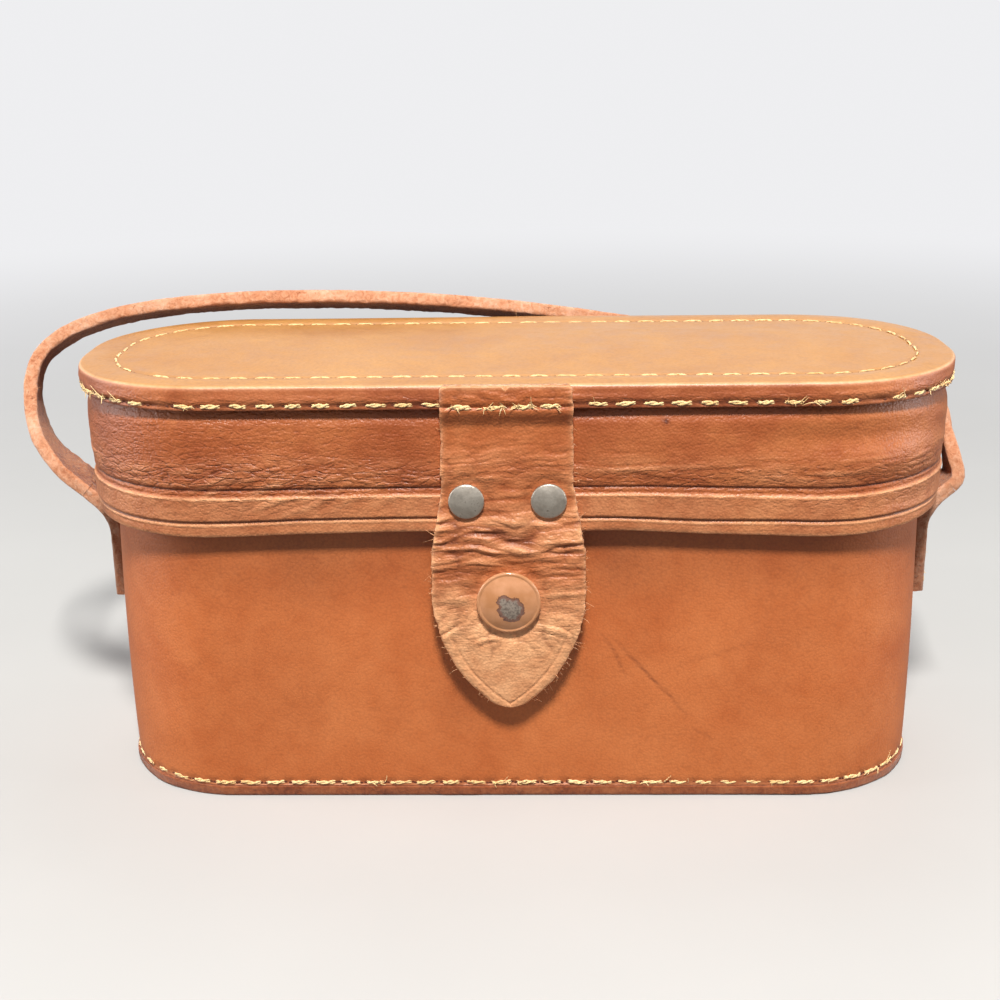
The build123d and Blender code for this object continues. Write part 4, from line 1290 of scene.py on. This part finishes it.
sew("sole_stitches", sole_spots, "base", tufts=front_tufts(sole_spots, sole_bursts), seed=7, scale=0.92,
    pull=1.22)
tab_seam_front = tab_front + tab_over_rim - 0.42
tab_spots = [((tab_x + x, -tab_seam_front, seam_line + rise), (1.0, 0.0, slant), (0.0, -1.0, 0.0))
             for x, rise, slant in ((-9.8, 0.0, -0.1), (-2.6, -0.2, 0.02), (3.6, 0.0, 0.15),
                                    (9.6, 0.2, 0.03))]
sew("tab_stitches", tab_spots, "lid", tufts=[(0, 7), (1, 12), (2, 9), (3, 4)], seed=8, scale=1.1)

strip_seam_xs = [-strip_half + 3.0 + k * (2 * strip_half - 6.0) / 15 for k in range(16)]
for name, body, back, seed in (("hinge_stitches_lid", "lid", 38.75, 9),
                               ("hinge_stitches_body", "base", 34.65, 10)):
    strip_spots = [((x, back, strip_seams[body]), (1.0, 0.0, 0.0), (0.0, 1.0, 0.0)) for x in strip_seam_xs]
    sew(name, strip_spots, body, seed=seed, scale=0.85)
tail_front = 100.25
for side, label in ((-1, "left"), (1, "right")):
    way_out = (float(side), 0.0, 0.0)
    tail_spots = [((side * tail_front, y, z), (0.0, 0.0, 1.0), way_out)
                  for y in (-3.9, 3.9) for z in (44.5, 50.5, 56.5)]
    tail_spots.append(((side * tail_front, 0.0, 42.6), (0.0, 1.0, 0.0), way_out))
    sew(f"tail_stitches_{label}", tail_spots, "base", seed=12 + side, scale=0.8)


# The inside: leather board stiffens the walls, base and lid, and a brushed cotton lining is glued over it.
# The body's floor has a soft pad of the same cloth over felt.
def napped_cloth():
    """Brushed cotton: a short nap over a plain weave, which lights up at its edges.

    The threads are drawn 0.7 mm apart, about twice as coarse as real ones, so that they show."""
    finish, tree, surface, place = new_finish("Brushed cotton lining")
    turn_per_mm = 2 * math.pi / 0.7
    parts = put(tree, "SeparateXYZ", {0: place})
    crossed = put(tree, "Math", {0: parts.outputs["X"], 1: parts.outputs["Y"]}, operation="ADD")
    weft = put(tree, "Math", {0: crossed, 1: turn_per_mm}, operation="MULTIPLY")
    warp = put(tree, "Math", {0: parts.outputs["Z"], 1: turn_per_mm}, operation="MULTIPLY")
    weft_wave = put(tree, "Math", {0: weft}, operation="SINE")
    warp_wave = put(tree, "Math", {0: warp}, operation="COSINE")
    weave = put(tree, "Math", {0: weft_wave, 1: warp_wave}, operation="MULTIPLY")
    nap = put(tree, "TexNoise", {"Vector": place, "Scale": 1 / 0.6, "Detail": 6.0, "Roughness": 0.7})
    paled = put(tree, "TexNoise", {"Vector": place, "Scale": 1 / 22.0, "Detail": 4.0})
    share = put(tree, "Math", {0: paled, 1: 0.35, 2: nap}, operation="MULTIPLY_ADD")
    tones = put(tree, "ValToRGB", {"Fac": share}, [(0.42, "6F4B30"), (0.92, "A67C54")])
    woven = put(tree, "Bump", {"Height": weave, "Distance": 0.05 * mm, "Strength": 0.5})
    fuzz = put(tree, "Bump", {"Height": nap, "Distance": 0.3 * mm, "Strength": 0.6, "Normal": woven})
    feed(surface, {"Base Color": tones, "Roughness": 0.95, "Specular IOR Level": 0.15, "Sheen Weight": 0.5,
                   "Sheen Roughness": 0.45, "Normal": fuzz})
    return finish


lining_cloth = napped_cloth()
leather_board = raw_hide("Leather board", "7C5B3E", "A0805C", "BD9E78", fibre=0.8, rise=0.1)
cover(["wall_lining", "lid_lining"], lining_cloth)
cover(["base_board", "wall_board", "lid_board"], leather_board)

pad_inset = 10.7
pad_low = 4.05
pad_high = 5.9


def pad_relief(flat, normals):
    """The pad swells softly towards its middle."""
    upward = normals[:, 2] > 0.5
    soft = 0.7 * ease_between(inset_of(flat), pad_inset, 22.0) + 0.25 * clouds(flat, 26.0, 91)
    return np.where(upward, soft + 0.06 * clouds(flat, 4.0, 92), 0.0)


pad_profile = soft_profile([
    (plan_deep / 2, pad_high, 0.0, 2.0),
    (pad_inset, pad_high, 0.8, 0.6),
    (pad_inset, pad_low, 0.1, 6.0),
    (plan_deep / 2, pad_low, 0.0, 1.0),
], closed=False)
floor_pad = plan_shell("floor_pad", pad_profile, 1.6, [lining_cloth], pad_relief, closed=False)[0]
face_outward(floor_pad, weld_gap)
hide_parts("base_pad")
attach(floor_pad, "base")


# The setting: a plain pale floor and backdrop that aren't part of the case, one lamp high in front, weaker
# ones at both ends and behind, and a little pale light from all round.
floor_reach = 8.0
ground = bpy.data.meshes.new("ground")
ground.from_pydata([(-floor_reach, -floor_reach, 0), (floor_reach, -floor_reach, 0),
                    (floor_reach, floor_reach, 0), (-floor_reach, floor_reach, 0)], [], [(0, 1, 2, 3)])
ground_finish, tree, surface, place = new_finish("Pale paper floor")
grain = put(tree, "TexNoise", {"Vector": place, "Scale": 12.0 / 1000, "Detail": 3.0})
paper = put(tree, "ValToRGB", {"Fac": grain}, [(0.0, "B4B4B3"), (1.0, "BCBCBB")])
seen = put(tree, "LightPath").outputs["Is Camera Ray"]
paper_tone = put(tree, "Mix", {0: seen, 6: colour("6C6B6A"), 7: paper}, data_type="RGBA")
feed(surface, {"Base Color": paper_tone, "Roughness": 0.9})
away = put(tree, "VectorMath", {0: place}, operation="LENGTH")
far = put(tree, "MapRange", {"Value": away, "From Min": 120.0, "From Max": 1000.0},
          interpolation_type="SMOOTHSTEP")
glow_share = put(tree, "Math", {0: far, 1: seen}, operation="MULTIPLY")
glow = put(tree, "Emission", {"Color": colour("F4F4F6"), "Strength": 0.95})
feed(tree.nodes["Material Output"], {"Surface": put(tree, "MixShader", {0: glow_share, 1: surface, 2: glow})})
ground.materials.append(ground_finish)
floor = bpy.data.objects.new("floor", ground)
bpy.context.scene.collection.objects.link(floor)

sky = bpy.data.worlds.new("pale_room")
bpy.context.scene.world = sky
sky.use_nodes = True
rays = put(sky.node_tree, "LightPath")
mirrored = put(sky.node_tree, "Math", {0: rays.outputs["Is Camera Ray"], 1: rays.outputs["Is Glossy Ray"]},
               operation="MAXIMUM")
clear = put(sky.node_tree, "Math", {0: mirrored, 1: rays.outputs["Is Transmission Ray"]}, operation="MAXIMUM")
strength = put(sky.node_tree, "MapRange", {"Value": clear, "To Min": 0.17, "To Max": 0.95})
feed(sky.node_tree.nodes["Background"], {"Color": colour("F4F4F6"), "Strength": strength})


def add_lamp(name, place, target, size, watts, tint):
    """A square soft lamp that faces a target."""
    lamp = bpy.data.objects.new(name, bpy.data.lights.new(name, "AREA"))
    bpy.context.scene.collection.objects.link(lamp)
    lamp.data.size = size
    lamp.data.energy = watts
    lamp.data.color = colour(tint)[:3]
    lamp.location = place
    lamp.rotation_mode = "QUATERNION"
    lamp.rotation_quaternion = (Vector(target) - Vector(place)).to_track_quat("-Z", "Y")


add_lamp("key", (0.03, -0.68, 1.04), (0, 0, 0.06), 0.17, 22.0, "FFFCF7")
add_lamp("left", (-0.8, -0.06, 0.2), (-0.1, 0, 0.06), 0.5, 4.1, "FFFFFF")
add_lamp("right", (0.8, -0.06, 0.2), (0.1, 0, 0.06), 0.36, 2.6, "FFFFFF")
add_lamp("behind", (0.0, 0.45, 0.85), (0, 0, 0.08), 0.5, 1.8, "FFFFFF")

bpy.context.scene.view_settings.view_transform = "Standard"
